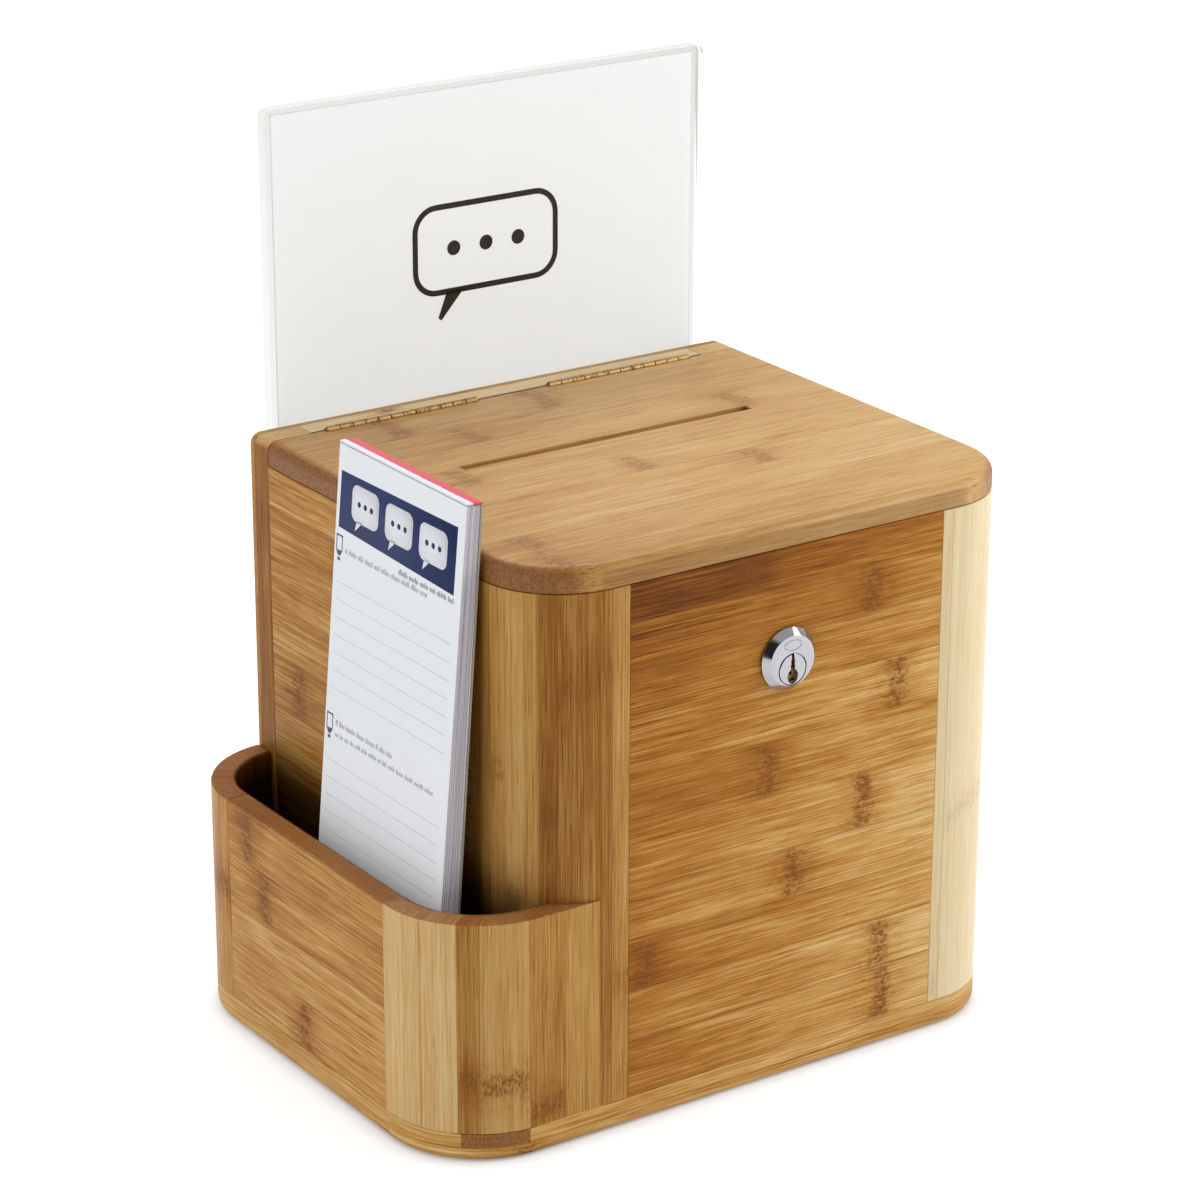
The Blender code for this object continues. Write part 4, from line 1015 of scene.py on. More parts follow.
def build_pocket():
    def rim_or_joint(middle, direction):
        return EASED if middle.z > POCKET_TOP - MM and abs(direction.z) < MM else SLIGHT

    def side_rim(middle, direction):
        on_side = abs(direction.y) > MM
        return EASED if middle.z > POCKET_TOP - MM and on_side else SLIGHT

    def corner_piece(side, y, way, radius, outline, strips, start, **wood):
        corner = Vector((X_POCKET, y, 0))
        # The corners' inner faces are darkened below the rim: painted shade in the pocket
        material = bamboo(
            f"bamboo_pocket_{side}", strips, start, "Z", ends=(0.75, (0.185, 0.068, 0.020), 1.9),
            dark=POCKET_PAINTED_SHADE + (("below", 1, 8, 9.5),), **wood,
        )
        wood_piece(
            f"pocket_{side}_corner", prism(outline, BASE_THICK, POCKET_TOP),
            bent(corner, (1, way), radius), material, width_at=rim_or_joint, width=EASED,
        )

    # The side panel's inner face is darkened below the rim: painted shade in the pocket
    material = bamboo(
        "bamboo_pocket_side", POCKET_PANEL_STRIPS, 12, "Y", lift=0.09, seed=12,
        ends=(0.6, (0.190, 0.070, 0.020), 1.9), end_axis="Z",
        dark=POCKET_PAINTED_SHADE + (("below", 1, -30.5, -29.5),),
    )
    wood_piece(
        "pocket_side_panel", block(*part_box("pocket_side_panel")), straight(2, 1), material,
        width_at=side_rim, width=EASED,
    )
    corner_piece(
        "front", Y_FRONT, 1, POCKET_FRONT_RADIUS, pocket_front_outline(), POCKET_FRONT_STRIPS, -3,
        palette=HONEY, streaks=0.6, knots=0.9, seed=13,
    )
    corner_piece(
        "back", Y_BACK, -1, POCKET_BACK_RADIUS, pocket_back_outline(), POCKET_BACK_STRIPS, -4,
        lift=0.05, streaks=0.8, seed=14,
    )


def build_lid():
    """The lid board: round top edge, letter slot with eased lips, and hinge recesses."""
    levels = [(LID_LOW.z, SLIGHT), (LID_LOW.z + SLIGHT, 0)]
    levels += rounded_levels(LID_LOW.z, BOX_TOP, EDGE_ROUND)
    piece = piece_of("lid_board_wood", board(lid_outline, levels))
    slot_low = BOX_CORNER + Vector((*SLOT_LOW, 0))
    slot_high = BOX_CORNER + Vector((*SLOT_HIGH, 0))
    rings = []
    for z, out in (
        (LID_LOW.z - MM, 0), (BOX_TOP - SLOT_LIP, 0), (BOX_TOP, SLOT_LIP), (BOX_TOP + MM, SLOT_LIP),
    ):
        grow = Vector((out, out, 0))
        rings.append(ring_at("Z", z, rectangle(slot_low - grow, slot_high + grow)))
    cuts = [loft(rings)] + [hinge_recess(start, -1) for start in hinge_starts().values()]
    cut(piece, cuts)
    crease(piece, 35)
    store_grain(piece, straight(1, 0))
    # drift paints light on the lid: it is lighter towards the right, where the light falls
    material = bamboo(
        "bamboo_lid", LID_STRIPS, 0, "X", HONEY, lift=0.035, drift=0.9, streaks=0.75, knots=0.6,
        gloss=0.28, ends=(0.85, (0.150, 0.054, 0.014), 1.9), seed=2,
    )
    place_piece(piece, "lid", material, ("lid_board",))


# ---------------------------------------------------------------- hardware


def cross_recess(centre, axis, top, way, size, depth):
    """A tapered cross that a screwdriver fits."""
    solids = []
    for turn in (0, 90):
        rings = []
        for place, share in ((top - way * depth, 0.35), (top + way * depth * 0.3, 1.0)):
            reach = size * share
            thin = size * 0.26
            corners = [(-reach, -thin), (reach, -thin), (reach, thin), (-reach, thin)]
            angle = math.radians(turn)
            ring = []
            for u, v in corners:
                x = centre[0] + u * math.cos(angle) - v * math.sin(angle)
                y = centre[1] + u * math.sin(angle) + v * math.cos(angle)
                ring.append(along(axis, place, (x, y)))
            rings.append(ring)
        solids.append(loft(rings))
    return solids


def build_screw(name, axis, way, sizes, body, material):
    """A screw with a cross in its head. way is the direction that its head faces along the axis."""
    head_radius, head_thick, shank_radius, countersunk = sizes
    low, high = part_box(name)
    index = "XYZ".index(axis)
    across = [part for place, part in enumerate(node_middle(name)) if place != index]
    ends = (low[index], high[index])
    top = ends[1] if way > 0 else ends[0]
    tip = ends[0] if way > 0 else ends[1]
    seat = top - way * head_thick
    if countersunk:
        profile = [(head_radius, top), (head_radius, top - way * 0.08 * MM), (shank_radius, seat)]
    else:
        profile = [(HEAD_FLAT * head_radius, top)]
        for step in range(1, 6):
            angle = math.pi / 2 * step / 5
            profile.append((
                head_radius * (HEAD_FLAT + (1 - HEAD_FLAT) * math.sin(angle)),
                top - way * head_thick * (0.15 + 0.55 * (1 - math.cos(angle))),
            ))
        profile += [(head_radius, seat), (shank_radius, seat)]
    length = abs(seat - tip)
    pitch = max(shank_radius * 0.8, 0.5 * MM)
    turns = int(length / pitch)
    for turn in range(turns):
        place = seat - way * (turn + 0.25) * pitch
        profile.append((shank_radius * THREAD_DEPTH, place))
        profile.append((shank_radius, place - way * pitch * 0.35))
    profile.append((shank_radius * 0.3, tip))
    ending = "_fine" if name.endswith("screw") else "_screw"
    piece = piece_of(name + ending, turned(profile, across, axis, 24))
    cut(piece, cross_recess(across, axis, top, way, head_radius * 0.55, head_thick * 0.55))
    crease(piece, 35)
    place_piece(piece, body, material, (name,))


def build_hinges(brass):
    """Strip hinges: leaves with rolled knuckles, pins with domed ends, countersunk screws."""
    sides = 24
    for side, start in hinge_starts().items():
        for part, way, first, body in (("rail", 1, 0, "box"), ("lid", -1, 1, "lid")):
            name = f"hinge_{side}_{part}_leaf"
            near = Y_HINGE + way * LEAF_FROM_AXIS
            far = near + way * LEAF_THICK
            end = start + KNUCKLE_PITCH * KNUCKLE_COUNT
            shoulder = BOX_TOP - KNUCKLE_RADIUS - 0.25 * MM
            low = Vector((start, min(near, far), BOX_TOP - LEAF_HEIGHT))
            high = Vector((end, max(near, far), shoulder))
            solids = [block(low, high)]
            for index in range(first, KNUCKLE_COUNT, 2):
                left = start + index * KNUCKLE_PITCH + KNUCKLE_GAP / 2
                right = left + KNUCKLE_PITCH - KNUCKLE_GAP
                tab_low = Vector((left, min(near, far), shoulder - 0.5 * MM))
                tab_high = Vector((right, max(near, far), BOX_TOP - KNUCKLE_RADIUS + 0.5 * MM))
                solids.append(block(tab_low, tab_high))
                eased = KNUCKLE_RADIUS - KNUCKLE_EASE
                profile = [
                    (eased, left), (KNUCKLE_RADIUS, left + KNUCKLE_EASE),
                    (KNUCKLE_RADIUS, right - KNUCKLE_EASE), (eased, right),
                    (KNUCKLE_BORE, right), (KNUCKLE_BORE, left),
                ]
                solids.append(turned(profile, (Y_HINGE, BOX_TOP), "X", sides, closed=True))
            creased_piece(name + "_fine", joined(solids), 35, body, brass, (name,))
            for count in (1, 2, 3):
                screw = f"hinge_{side}_{part}_screw_{count}"
                build_screw(screw, "Y", -way, LEAF_SCREW, body, brass)
        name = f"hinge_{side}_pin"
        low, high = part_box(name)
        radius = (high.z - low.z) / 2
        profile = [
            (radius / 2, low.x), (radius, low.x + PIN_DOME),
            (radius, high.x - PIN_DOME), (radius / 2, high.x),
        ]
        solid = turned(profile, (Y_HINGE, BOX_TOP), "X", sides)
        creased_piece(name + "_fine", solid, 35, "box", brass, (name,))


def refined(name, body, material, width):
    """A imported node's own shape with its edges rounded."""
    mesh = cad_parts[name].data.copy()
    solid = bmesh.new()
    solid.from_mesh(mesh)
    bmesh.ops.remove_doubles(solid, verts=solid.verts, dist=0.001 * MM)
    bmesh.ops.dissolve_limit(solid, angle_limit=math.radians(1), verts=solid.verts, edges=solid.edges)
    piece = piece_of(name + "_fine", solid)
    bpy.data.meshes.remove(mesh)
    soften(piece, width, angle=35)
    place_piece(piece, body, material, (name,))


def build_lock(chrome, zinc, brass):
    """The cam lock: coned bezel with a blank oval, plug with its keyway, nut, cam and keeper."""
    low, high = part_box("lock_housing")
    centre = node_middle("lock_nut")
    plug_low, plug_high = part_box("lock_plug")
    plug = node_middle("lock_cam_screw")
    spot = (centre.x, centre.z)
    front = low.y
    back = Y_FRONT - 0.3 * MM
    profile = [
        (8.0 * MM, front),
        (9.95 * MM, front),
        (10.12 * MM, front + 0.05 * MM),
        (LOCK_FACE_RADIUS, front + 0.2 * MM),
        (BEZEL_RADIUS - 0.2 * MM, back - 0.85 * MM),
        (BEZEL_RADIUS, back - 0.62 * MM),
        (BEZEL_RADIUS, back - 0.12 * MM),
        (BEZEL_RADIUS - 0.12 * MM, back),
        (BARREL_RADIUS, back),
    ]
    place = Y_FRONT + WALL + 0.5 * MM
    profile.append((BARREL_RADIUS, place))
    while place + BARREL_THREAD < high.y - 0.4 * MM:
        profile.append((BARREL_THREAD_FOOT, place + BARREL_THREAD / 2))
        profile.append((BARREL_RADIUS, place + BARREL_THREAD))
        place += BARREL_THREAD
    profile += [(9.5 * MM, high.y), (6.5 * MM, high.y)]
    housing = piece_of("lock_housing_fine", turned(profile, spot, "Y", 96))
    plug_spot = (plug.x, plug.z)
    bore = turned(
        [
            (6.55 * MM, front - MM), (6.55 * MM, front + 2.0 * MM),
            (5.1 * MM, front + 2.0 * MM), (5.1 * MM, high.y + MM),
        ],
        plug_spot, "Y", 64,
    )
    oval = []
    for side in range(48):
        angle = 2 * math.pi * side / 48
        ring = []
        for out, depth in GROOVE:
            x = centre.x + (OVAL_HALF[0] + out) * MM * math.cos(angle)
            z = centre.z + (OVAL_ABOVE + (OVAL_HALF[1] + out) * math.sin(angle)) * MM
            ring.append((x, front + depth * MM, z))
        oval.append(ring)
    cut(housing, [bore, loft(oval, closed=True)])
    crease(housing, 25)
    place_piece(housing, "box", chrome, ("lock_housing",))

    plug_front = plug_low.y
    profile = [
        (5.2 * MM, plug_front),
        (5.95 * MM, plug_front + 0.03 * MM),
        (6.1 * MM, plug_front + 0.2 * MM),
        (PLUG_FACE_RADIUS, plug_front + 0.5 * MM),
        (PLUG_FACE_RADIUS, plug_front + PLUG_FACE_DEPTH),
        (PLUG_RADIUS, plug_front + PLUG_FACE_DEPTH),
        (PLUG_RADIUS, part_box("lock_cam")[0].y - 0.1 * MM),
    ]
    piece = piece_of("lock_plug_fine", turned(profile, plug_spot, "Y", 64))
    outline = [(plug.x + x * MM, plug.z + z * MM) for x, z in KEYWAY]
    eye = ellipse((plug.x, plug.z - KEY_EYE_BELOW), *KEY_EYE_HALF, 32)
    depth = plug_front + KEYWAY_DEPTH
    keyway = prism(outline, plug_front - MM, depth, "Y")
    cut(piece, [keyway, prism(eye, plug_front - MM, plug_front + KEY_EYE_DEPTH, "Y")])
    half = PLUG_TAIL_HALF
    tail_low = Vector((plug.x - half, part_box("lock_cam")[0].y - 2 * MM, plug.z - half))
    tail_high = Vector((plug.x + half, plug_high.y, plug.z + half))
    cut(piece, [block(tail_low, tail_high)], "UNION")
    crease(piece, 25)
    place_piece(piece, "lock_plug_body", chrome, ("lock_plug",))
    piece.data.materials.append(brass)
    for face in piece.data.polygons:
        middle = face.center
        inside = math.hypot(middle.x - plug.x, middle.z - plug.z) < 4.2 * MM
        if inside and plug_front + 0.6 * MM < middle.y <= depth + 0.01 * MM:
            face.material_index = 1

    refined("lock_nut", "box", zinc, 0.3 * MM)
    refined("lock_cam", "lock_plug_body", zinc, 0.3 * MM)
    refined("lid_keeper", "lid", zinc, 0.25 * MM)
    build_screw("lock_cam_screw", "Y", 1, CAM_SCREW, "lock_plug_body", zinc)
    for count in (1, 2):
        build_screw(f"keeper_screw_{count}", "Z", -1, KEEPER_SCREW, "lid", zinc)
        build_screw(f"sign_screw_{count}", "Y", 1, SIGN_SCREW, "box", zinc)


# ---------------------------------------------------------------- sign and sheet


def build_sign():
    """The folded clear holder, with milky cut edges."""
    low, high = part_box("sign_holder")
    outer = (high.y - low.y) / 2
    inner = outer - SIGN_WALL
    middle = (low.y + high.y) / 2
    fold = low.z + outer
    top = high.z + MM  # the face's outline then trims it
    section = [(low.y, top)] + arc((middle, fold), outer, 180, 360, 16) + [(high.y, top)]
    section += [(middle + inner, top)]
    section += arc((middle, fold), inner, 360, 180, 16) + [(middle - inner, top)]
    piece = piece_of("sign_holder_fine", prism(section, low.x, high.x, "X"))
    face = [(low.x, low.z - MM), (high.x, low.z - MM)]
    face += arc((high.x - SIGN_CORNER, high.z - SIGN_CORNER), SIGN_CORNER, 0, 90, 12)
    face += arc((low.x + SIGN_CORNER, high.z - SIGN_CORNER), SIGN_CORNER, 90, 180, 12)
    cut(piece, [prism(face, low.y - MM, high.y + MM, "Y")], "INTERSECT")
    holes = []
    for count in (1, 2):
        spot = node_middle(f"sign_screw_{count}")
        holes.append(rod(SIGN_HOLE_RADIUS, low.y - MM, high.y + MM, (spot.x, spot.z), "Y", 24))
    cut(piece, holes)
    soften(piece, 0.25 * MM)
    clear = clear_acrylic("acrylic_clear", (0.10, 0.11, 0.07), 0.5, 0.05)
    place_piece(piece, "box", clear, ("sign_holder",))
    # The cut edges are milky and glow with painted light
    piece.data.materials.append(clear_acrylic("acrylic_edge", (0.38, 0.41, 0.35), 0.5, 0.62, 0.45))
    piece.data.materials.append(clear_acrylic("acrylic_inside", (0.95, 0.97, 0.95), 0.0, 0.004))
    piece.data.materials.append(clear_acrylic("acrylic_back", (0.10, 0.115, 0.05), 0.5, 0.21))
    edge_index, inside_index, back_index = 1, 2, 3
    for polygon in piece.data.polygons:
        if abs(polygon.center.y - middle) < inner + 0.05 * MM:
            polygon.material_index = inside_index
        elif abs(polygon.normal.y) < 0.97 and polygon.center.z > fold:
            polygon.material_index = edge_index
        elif polygon.normal.y > 0.8:
            polygon.material_index = back_index


def rounded_box_outline(centre, half_width, half_height, radius, steps=8):
    points = []
    for sx, sz, start in ((1, 1, 0), (-1, 1, 90), (-1, -1, 180), (1, -1, 270)):
        corner = (centre[0] + sx * (half_width - radius), centre[1] + sz * (half_height - radius))
        points += arc(corner, radius, start, start + 90, steps)
    return points


def build_sheet():
    """The sheet in the holder, gently wavy, with a plain speech-bubble sign on its front."""
    low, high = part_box("insert_sheet")
    columns, rows = 60, 44
    rings = []
    for row in range(rows + 1):
        z = low.z + (high.z - low.z) * row / rows
        front = []
        back = []
        for column in range(columns + 1):
            x = low.x + (high.x - low.x) * column / columns
            wave = SHEET_WAVE * noise.noise(Vector((x * SHEET_WAVES, 0.3, z * SHEET_WAVES)))
            front.append((x, low.y + SHEET_INSET + wave, z))
            back.append((x, high.y - SHEET_INSET + wave, z))
        rings.append(front + list(reversed(back)))
    # The sheet's glow is painted light, as if lit through from behind
    material = paper(
        "sheet_paper", (0.58, 0.60, 0.60), (0.56, 0.58, 0.58), glow=0.575, rim=(low, high)
    )
    piece = creased_piece(
        "insert_sheet_paper", loft(rings), 40, "sheet", material, ("insert_sheet",)
    )
    piece.data.materials.append(paper("sheet_back_paper", (0.74, 0.74, 0.76), (0.70, 0.70, 0.72)))
    for polygon in piece.data.polygons:
        if polygon.normal.y > -0.5:
            polygon.material_index = 1

    # The bubble's outline, its tail and its dots, as a thin film of print just ahead of the sheet
    centre = ((low.x + high.x) / 2 - 1.5 * MM, low.z + BUBBLE_HEIGHT)
    film_low = low.y - 0.10 * MM
    film_high = low.y + 0.05 * MM
    outer = rounded_box_outline(centre, *BUBBLE_SIZE)
    inner = rounded_box_outline(centre, *[size - BUBBLE_LINE for size in BUBBLE_SIZE])
    rings = []
    for outline, y in ((outer, film_low), (outer, film_high), (inner, film_high), (inner, film_low)):
        rings.append(ring_at("Y", y, outline))
    solids = [loft(rings, closed=True)]
    tail = [(-19, -17.8), (-11, -17.8), (-21.8, -29.6), (-23.2, -28.4)]
    tail = [(centre[0] + x * MM, centre[1] + z * MM) for x, z in tail]
    solids.append(prism(tail, film_low, film_high, "Y"))
    for x in (-15.5, 0, 15.5):
        solids.append(rod(3.1 * MM, film_low, film_high, (centre[0] + x * MM, centre[1]), "Y", 32))
    black = ink("sign_ink", (0.040, 0.022, 0.016))
    creased_piece("insert_sheet_sign", joined(solids), 30, "sheet", black)


# ---------------------------------------------------------------- note pad


def pad_place():
    """Lean and foot of the pad, from the pocket that it stands in."""
    into_curve = max(POCKET_FRONT_RADIUS - PAD_FROM_FRONT, 0)
    curve_depth = math.sqrt((POCKET_FRONT_RADIUS - WALL) ** 2 - into_curve ** 2)
    foot_x = X_POCKET + POCKET_FRONT_RADIUS - curve_depth + SEAT_GAP
    room = X_LEFT - SEAT_GAP - foot_x
    diagonal = math.hypot(PAD_LENGTH, PAD_TOP_THICK)
    lean = math.asin(room / diagonal) - math.atan2(PAD_TOP_THICK, PAD_LENGTH)
    foot_z = BASE_THICK + SEAT_GAP + PAD_FOOT_THICK * math.sin(lean)
    return lean, foot_x, foot_z


def pad_point(across, up, y):
    """A point of the leaning pad, from its front face and along that face."""
    lean, foot_x, foot_z = pad_place()
    x = foot_x + across * math.cos(lean) + up * math.sin(lean)
    z = foot_z - across * math.sin(lean) + up * math.cos(lean)
    return (x, y, z)


def pad_slab(front, back, y_low, y_high, foot, top):
    """One thin slab of the pad. front and back give its faces' depths at the foot and at the top."""
    rings = []
    for y in (y_low, y_high):
        rings.append([
            pad_point(front[0], foot, y), pad_point(back[0], foot, y),
            pad_point(back[1], top, y), pad_point(front[1], top, y),
        ])
    return loft(rings)


def build_pad():
    """The block of sheets as thin leaves, its card, its glued top edge and its printed form."""
    chance = random.Random(21)
    y_low = Y_FRONT + PAD_FROM_FRONT
    y_high = y_low + PAD_WIDTH
    paper_top = PAD_LENGTH - GLUE_THICK
    foot_room = PAD_FOOT_THICK - CARD_THICK - SEAT_GAP
    top_room = PAD_TOP_THICK - CARD_THICK - SEAT_GAP
    solids = []
    for leaf in range(LEAVES):
        near = leaf / LEAVES
        far = (leaf + LEAF_SHARE) / LEAVES
        # Only the top leaf has its full width: the others lie a hair out of line
        low_trim = chance.uniform(0, SIDE_TRIM) * MM if leaf else 0.0
        high_trim = chance.uniform(0, SIDE_TRIM) * MM if leaf else 0.0
        foot_trim = chance.uniform(0, FOOT_TRIM) * MM
        start = PRINT_ROOM
        front, back = (
            (start + share * (foot_room - start), start + share * (top_room - start))
            for share in (near, far)
        )
        solids.append(pad_slab(front, back, y_low + low_trim, y_high - high_trim, foot_trim, paper_top))
    # The pad's glow is painted light that lifts the face where the pocket shades it
    front_paper = paper("pad_sheet_paper", (0.66, 0.68, 0.71), (0.63, 0.65, 0.685), glow=0.13)
    leaves = creased_piece(
        "pad_paper_leaves", joined(solids), 30, "pad", front_paper, ("pad_paper",)
    )
    leaves.data.materials.append(page_edges("pad_page_edges"))
    lean = pad_place()[0]
    facing = Vector((-math.cos(lean), 0, math.sin(lean)))
    for polygon in leaves.data.polygons:
        if abs(polygon.normal.dot(facing)) < 0.7:
            polygon.material_index = 1

    card = pad_slab(
        (PAD_FOOT_THICK - CARD_THICK, PAD_TOP_THICK - CARD_THICK), (PAD_FOOT_THICK, PAD_TOP_THICK),
        y_low, y_high, 0.0, paper_top,
    )
    piece = piece_of("pad_backing_card", card)
    soften(piece, 0.12 * MM)
    material = paper("pad_card", (0.42, 0.36, 0.29), (0.33, 0.28, 0.22), roughness=0.8)
    place_piece(piece, "pad", material, ("pad_backing",))

    # The glue has soaked a little down the leaves, so its edge is uneven
    steps = 60
    rings = []
    for step in range(steps + 1):
        y = y_low + (y_high - y_low) * step / steps
        uneven = noise.noise(Vector((y * 260, 1.7, 0.4))) * 0.12 * MM
        foot = PAD_LENGTH - 0.75 * MM + uneven
        rings.append([
            pad_point(0.0, foot, y), pad_point(PAD_TOP_THICK, foot, y),
            pad_point(PAD_TOP_THICK - 0.1 * MM, PAD_LENGTH - 0.1 * MM, y),
            pad_point(PAD_TOP_THICK - 0.6 * MM, PAD_LENGTH, y),
            pad_point(0.6 * MM, PAD_LENGTH, y), pad_point(0.08 * MM, PAD_LENGTH - 0.12 * MM, y),
        ])
    s = Shader("pad_glue")
    spot = s.place()
    lumps = s.noise(spot, (260, 260, 260), detail=3.0)
    lean, foot_x, foot_z = pad_place()
    parts = s.split(spot)
    shift = foot_z * math.sin(lean) - foot_x * math.cos(lean)
    across = s.scale_add(parts[0], math.cos(lean), shift)
    across = s.scale_add(parts[2], -math.sin(lean), across)
    across = s.scale_add(lumps, 0.9 * MM, across)
    red = s.mix(s.step(lumps, 0.35, 0.7), (0.64, 0.055, 0.095), (0.56, 0.080, 0.120))
    white = (0.72, 0.70, 0.73)
    s.set("Base Color", s.mix(s.step(across, 2.6 * MM, 3.3 * MM), white, red))
    s.set("Roughness", s.scale_add(lumps, 0.3, 0.4))
    s.bump(lumps, 0.4, 0.1 * MM)
    creased_piece(
        "pad_binding_glue", loft(rings), 50, "pad", s.material, ("pad_binding",)
    )
    build_pad_print(chance, y_high)


def build_pad_print(chance, y_high):
    """The form on the top sheet: a plain heading band, greyed lines of words and ruled lines."""

    def film(corners):
        """A thin printed shape. Its corners are mm from the left edge and mm below the pad's top."""
        rings = []
        for depth in (0.03 * MM, 0.07 * MM):
            ring = []
            for right, down in corners:
                ring.append(pad_point(depth, PAD_LENGTH - down * MM, y_high - right * MM))
            rings.append(ring)
        return loft(rings)

    def bar(left, right, down, height):
        return film([(left, down), (right, down), (right, down + height), (left, down + height)])

    def words(left, right, down, height):
        """A greyed line of words: fine upright strokes in groups, with no letters among them."""
        strokes = []
        place = left
        while place < right - 1:
            for _ in range(chance.randint(2, 8)):
                tall = height if chance.random() < 0.3 else 0.68 * height
                strokes.append(bar(place, place + 0.42, down + height - tall, tall))
                place += 0.83
            place += 0.9
        return strokes

    def printed(name, solids, material):
        place_piece(piece_of(name, joined(solids)), "pad", material)

    navy_colour = (0.020, 0.032, 0.115)
    heading = film([(2.4, 11.2), (84.2, 10.2), (84.0, 36.4), (2.2, 33.6)])
    printed("pad_heading", [heading], ink("heading_ink", navy_colour))

    # Three blank speech bubbles on the heading
    pale = []
    navy = []
    for count, right in enumerate((10.5, 34.5, 58.5)):
        centre = (right + 10.0, 21.2 + 0.35 * count)
        pale.append(film(rounded_box_outline(centre, 9.6, 7.2, 3.6)))
        tail = [(-5.5, 6.6), (-1.5, 6.6), (-6.6, 11.0)]
        pale.append(film([(centre[0] + x, centre[1] + y) for x, y in tail]))
        for place in (-4.4, 0.0, 4.4):
            spot = (centre[0] + place, centre[1])
            navy.append(film(rounded_box_outline(spot, 1.15, 1.15, 1.1, 4)))
    pale = [lift_film(solid) for solid in pale]
    printed("pad_heading_bubbles", pale, ink("heading_pale_ink", (0.72, 0.74, 0.78)))
    navy = [lift_film(lift_film(solid)) for solid in navy]
    printed("pad_heading_dots", navy, ink("heading_dot_ink", navy_colour))

    dark = words(46, 83.5, 37.4, 2.2)
    for down in (36.4, 108.2):  # a small plain mark beside each block of words
        dark.append(bar(1.2, 5.8, down, 0.7))
        dark.append(bar(1.2, 1.8, down, 6.4))
        dark.append(bar(5.2, 5.8, down, 6.4))
        dark.append(film([(1.2, down + 6.2), (5.8, down + 6.2), (4.4, down + 8.4), (2.6, down + 8.4)]))
        dark.append(bar(2.6, 4.4, down + 9.0, 1.3))
    printed("pad_marks", dark, ink("mark_ink", (0.10, 0.11, 0.17)))

    grey = words(8, 64, 40.4, 2.3) + words(8, 50, 109.6, 2.3) + words(8, 76, 114.6, 1.9)
    printed("pad_words", grey, ink("word_ink", (0.30, 0.31, 0.36)))

    rules = []
    for down in [55 + 7.1 * row for row in range(7)] + [127 + 7.1 * row for row in range(14)]:
        rules.append(bar(3, 84, down, 0.2))
    printed("pad_rules", rules, ink("rule_ink", (0.52, 0.54, 0.60)))


def lift_film(solid):
    """Print that lies over another print stands a hair ahead of it."""
    lean = pad_place()[0]
    ahead = Vector((-math.cos(lean), 0, math.sin(lean))) * 0.03 * MM
    bmesh.ops.translate(solid, vec=ahead, verts=solid.verts)
    return solid


# ---------------------------------------------------------------- camera, light and floor


def build_camera():
    """A long lens from the front left, looking down about 21 degrees."""
    place = Vector(CAMERA_PLACE) * MM + BOX_CORNER
    right = Vector(CAMERA_RIGHT)
    up = Vector(CAMERA_UP)
    away = right.cross(up)
    data = bpy.data.cameras.new("camera")
    data.sensor_width = SENSOR_WIDTH
    data.lens = SENSOR_WIDTH * FOCAL_PIXELS / PHOTO_PIXELS
    data.clip_start = 0.01
    data.clip_end = 50
    camera = bpy.data.objects.new("camera", data)
    turn = Matrix((right, up, away)).transposed()
    camera.matrix_world = Matrix.Translation(place) @ turn.to_4x4()
    bpy.context.scene.collection.objects.link(camera)
    bpy.context.scene.camera = camera


def softbox(name, place, target, size, watts):
    data = bpy.data.lights.new(name, "AREA")
    data.shape = "RECTANGLE"
    data.size, data.size_y = size
    data.energy = watts
    light = bpy.data.objects.new(name, data)
    place = Vector(place)
    way = Vector(target) - place
    light.matrix_world = Matrix.Translation(place) @ way.to_track_quat("-Z", "Y").to_matrix().to_4x4()
    bpy.context.scene.collection.objects.link(light)


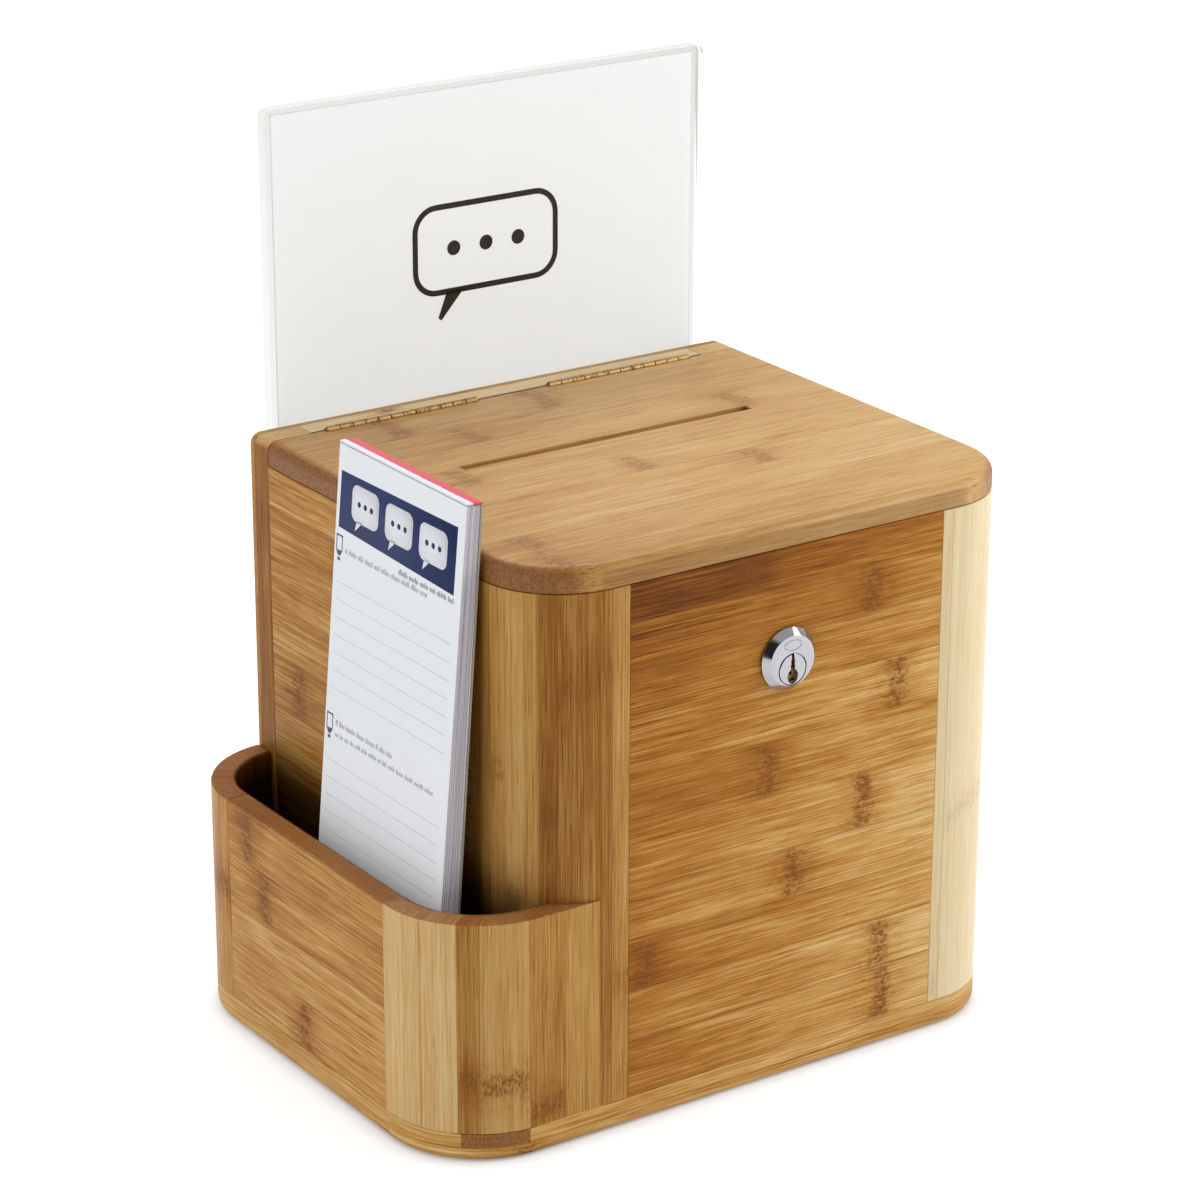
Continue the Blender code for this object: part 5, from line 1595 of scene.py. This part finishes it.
def build_world():
    """A white room with a dark side behind the camera, which the chrome reflects."""
    world = bpy.data.worlds.new("studio")
    world.use_nodes = True
    tree = world.node_tree
    background = tree.nodes["Background"]
    way = tree.nodes.new("ShaderNodeTexCoord").outputs["Generated"]
    towards = tree.nodes.new("ShaderNodeVectorMath")
    towards.operation = "DOT_PRODUCT"
    tree.links.new(way, towards.inputs[0])
    towards.inputs[1].default_value = Vector(DARK_WAY).normalized()
    shade = tree.nodes.new("ShaderNodeMapRange")
    shade.interpolation_type = "SMOOTHSTEP"
    for value, socket in zip(DARK_START_END + ROOM_AND_DARK, list(shade.inputs)[1:]):
        socket.default_value = value
    tree.links.new(towards.outputs["Value"], shade.inputs["Value"])
    tree.links.new(shade.outputs["Result"], background.inputs["Strength"])
    background.inputs["Color"].default_value = (1, 1, 1, 1)
    bpy.context.scene.world = world


def build_stage():
    """Soft lights and a pale floor. Each light has its place, its target and its size, then watts."""
    bpy.context.scene.view_settings.view_transform = "Standard"
    build_world()
    softbox("key_right", (1.2, -0.75, 0.9), (0.05, 0, 0.12), (0.9, 0.9), 15.5)
    softbox("fill_left", (-1.4, -0.2, 0.8), (-0.05, 0, 0.1), (1.0, 1.0), 4.5)
    softbox("top_back", (0.2, 0.7, 1.5), (0, 0, 0.15), (1.6, 0.8), 13)

    floor = piece_of("floor", block(Vector((-7, -7, -0.02)), Vector((7, 7, 0))))
    s = Shader("floor_white")
    spot = s.place()
    cloud = s.noise(spot, (3, 3, 3), detail=2.0)
    s.set("Base Color", s.mix(cloud, (0.47, 0.47, 0.47), (0.45, 0.45, 0.45)))
    s.set("Roughness", 0.9)
    s.set("Specular IOR Level", 0.1)
    s.set("Emission Color", (1, 1, 1, 1))
    away = s.node("VectorMath", operation="LENGTH")
    s.feed(spot, away.inputs[0])
    glow = s.step(away.outputs["Value"], 0.3, 1.4, FLOOR_NEAR, FLOOR_FAR)
    contact = s.node("AmbientOcclusion", samples=8)
    contact.inputs["Distance"].default_value = CONTACT_REACH
    contact_shade = s.step(contact.outputs["AO"], 0.0, 1.0, CONTACT_DARKEST, 1.0)
    s.set("Emission Strength", s.times(glow, contact_shade))
    floor.data.materials.append(s.material)


def build():
    build_camera()
    chrome = metal("lock_chrome_plate", (0.46, 0.455, 0.485), 0.05, 0.06, bump=0.03)
    zinc = metal("zinc_plate", (0.58, 0.58, 0.57), 0.28, 0.16, spots=0.35, dark=(0.30, 0.30, 0.28))
    brass = metal("dull_brass", (0.45, 0.29, 0.12), 0.38, 0.2, spots=0.85, dark=(0.17, 0.09, 0.035))
    build_base()
    build_walls()
    build_pocket()
    build_lid()
    build_hinges(brass)
    build_lock(chrome, zinc, brass)
    build_sign()
    build_sheet()
    build_pad()
    build_stage()


build()
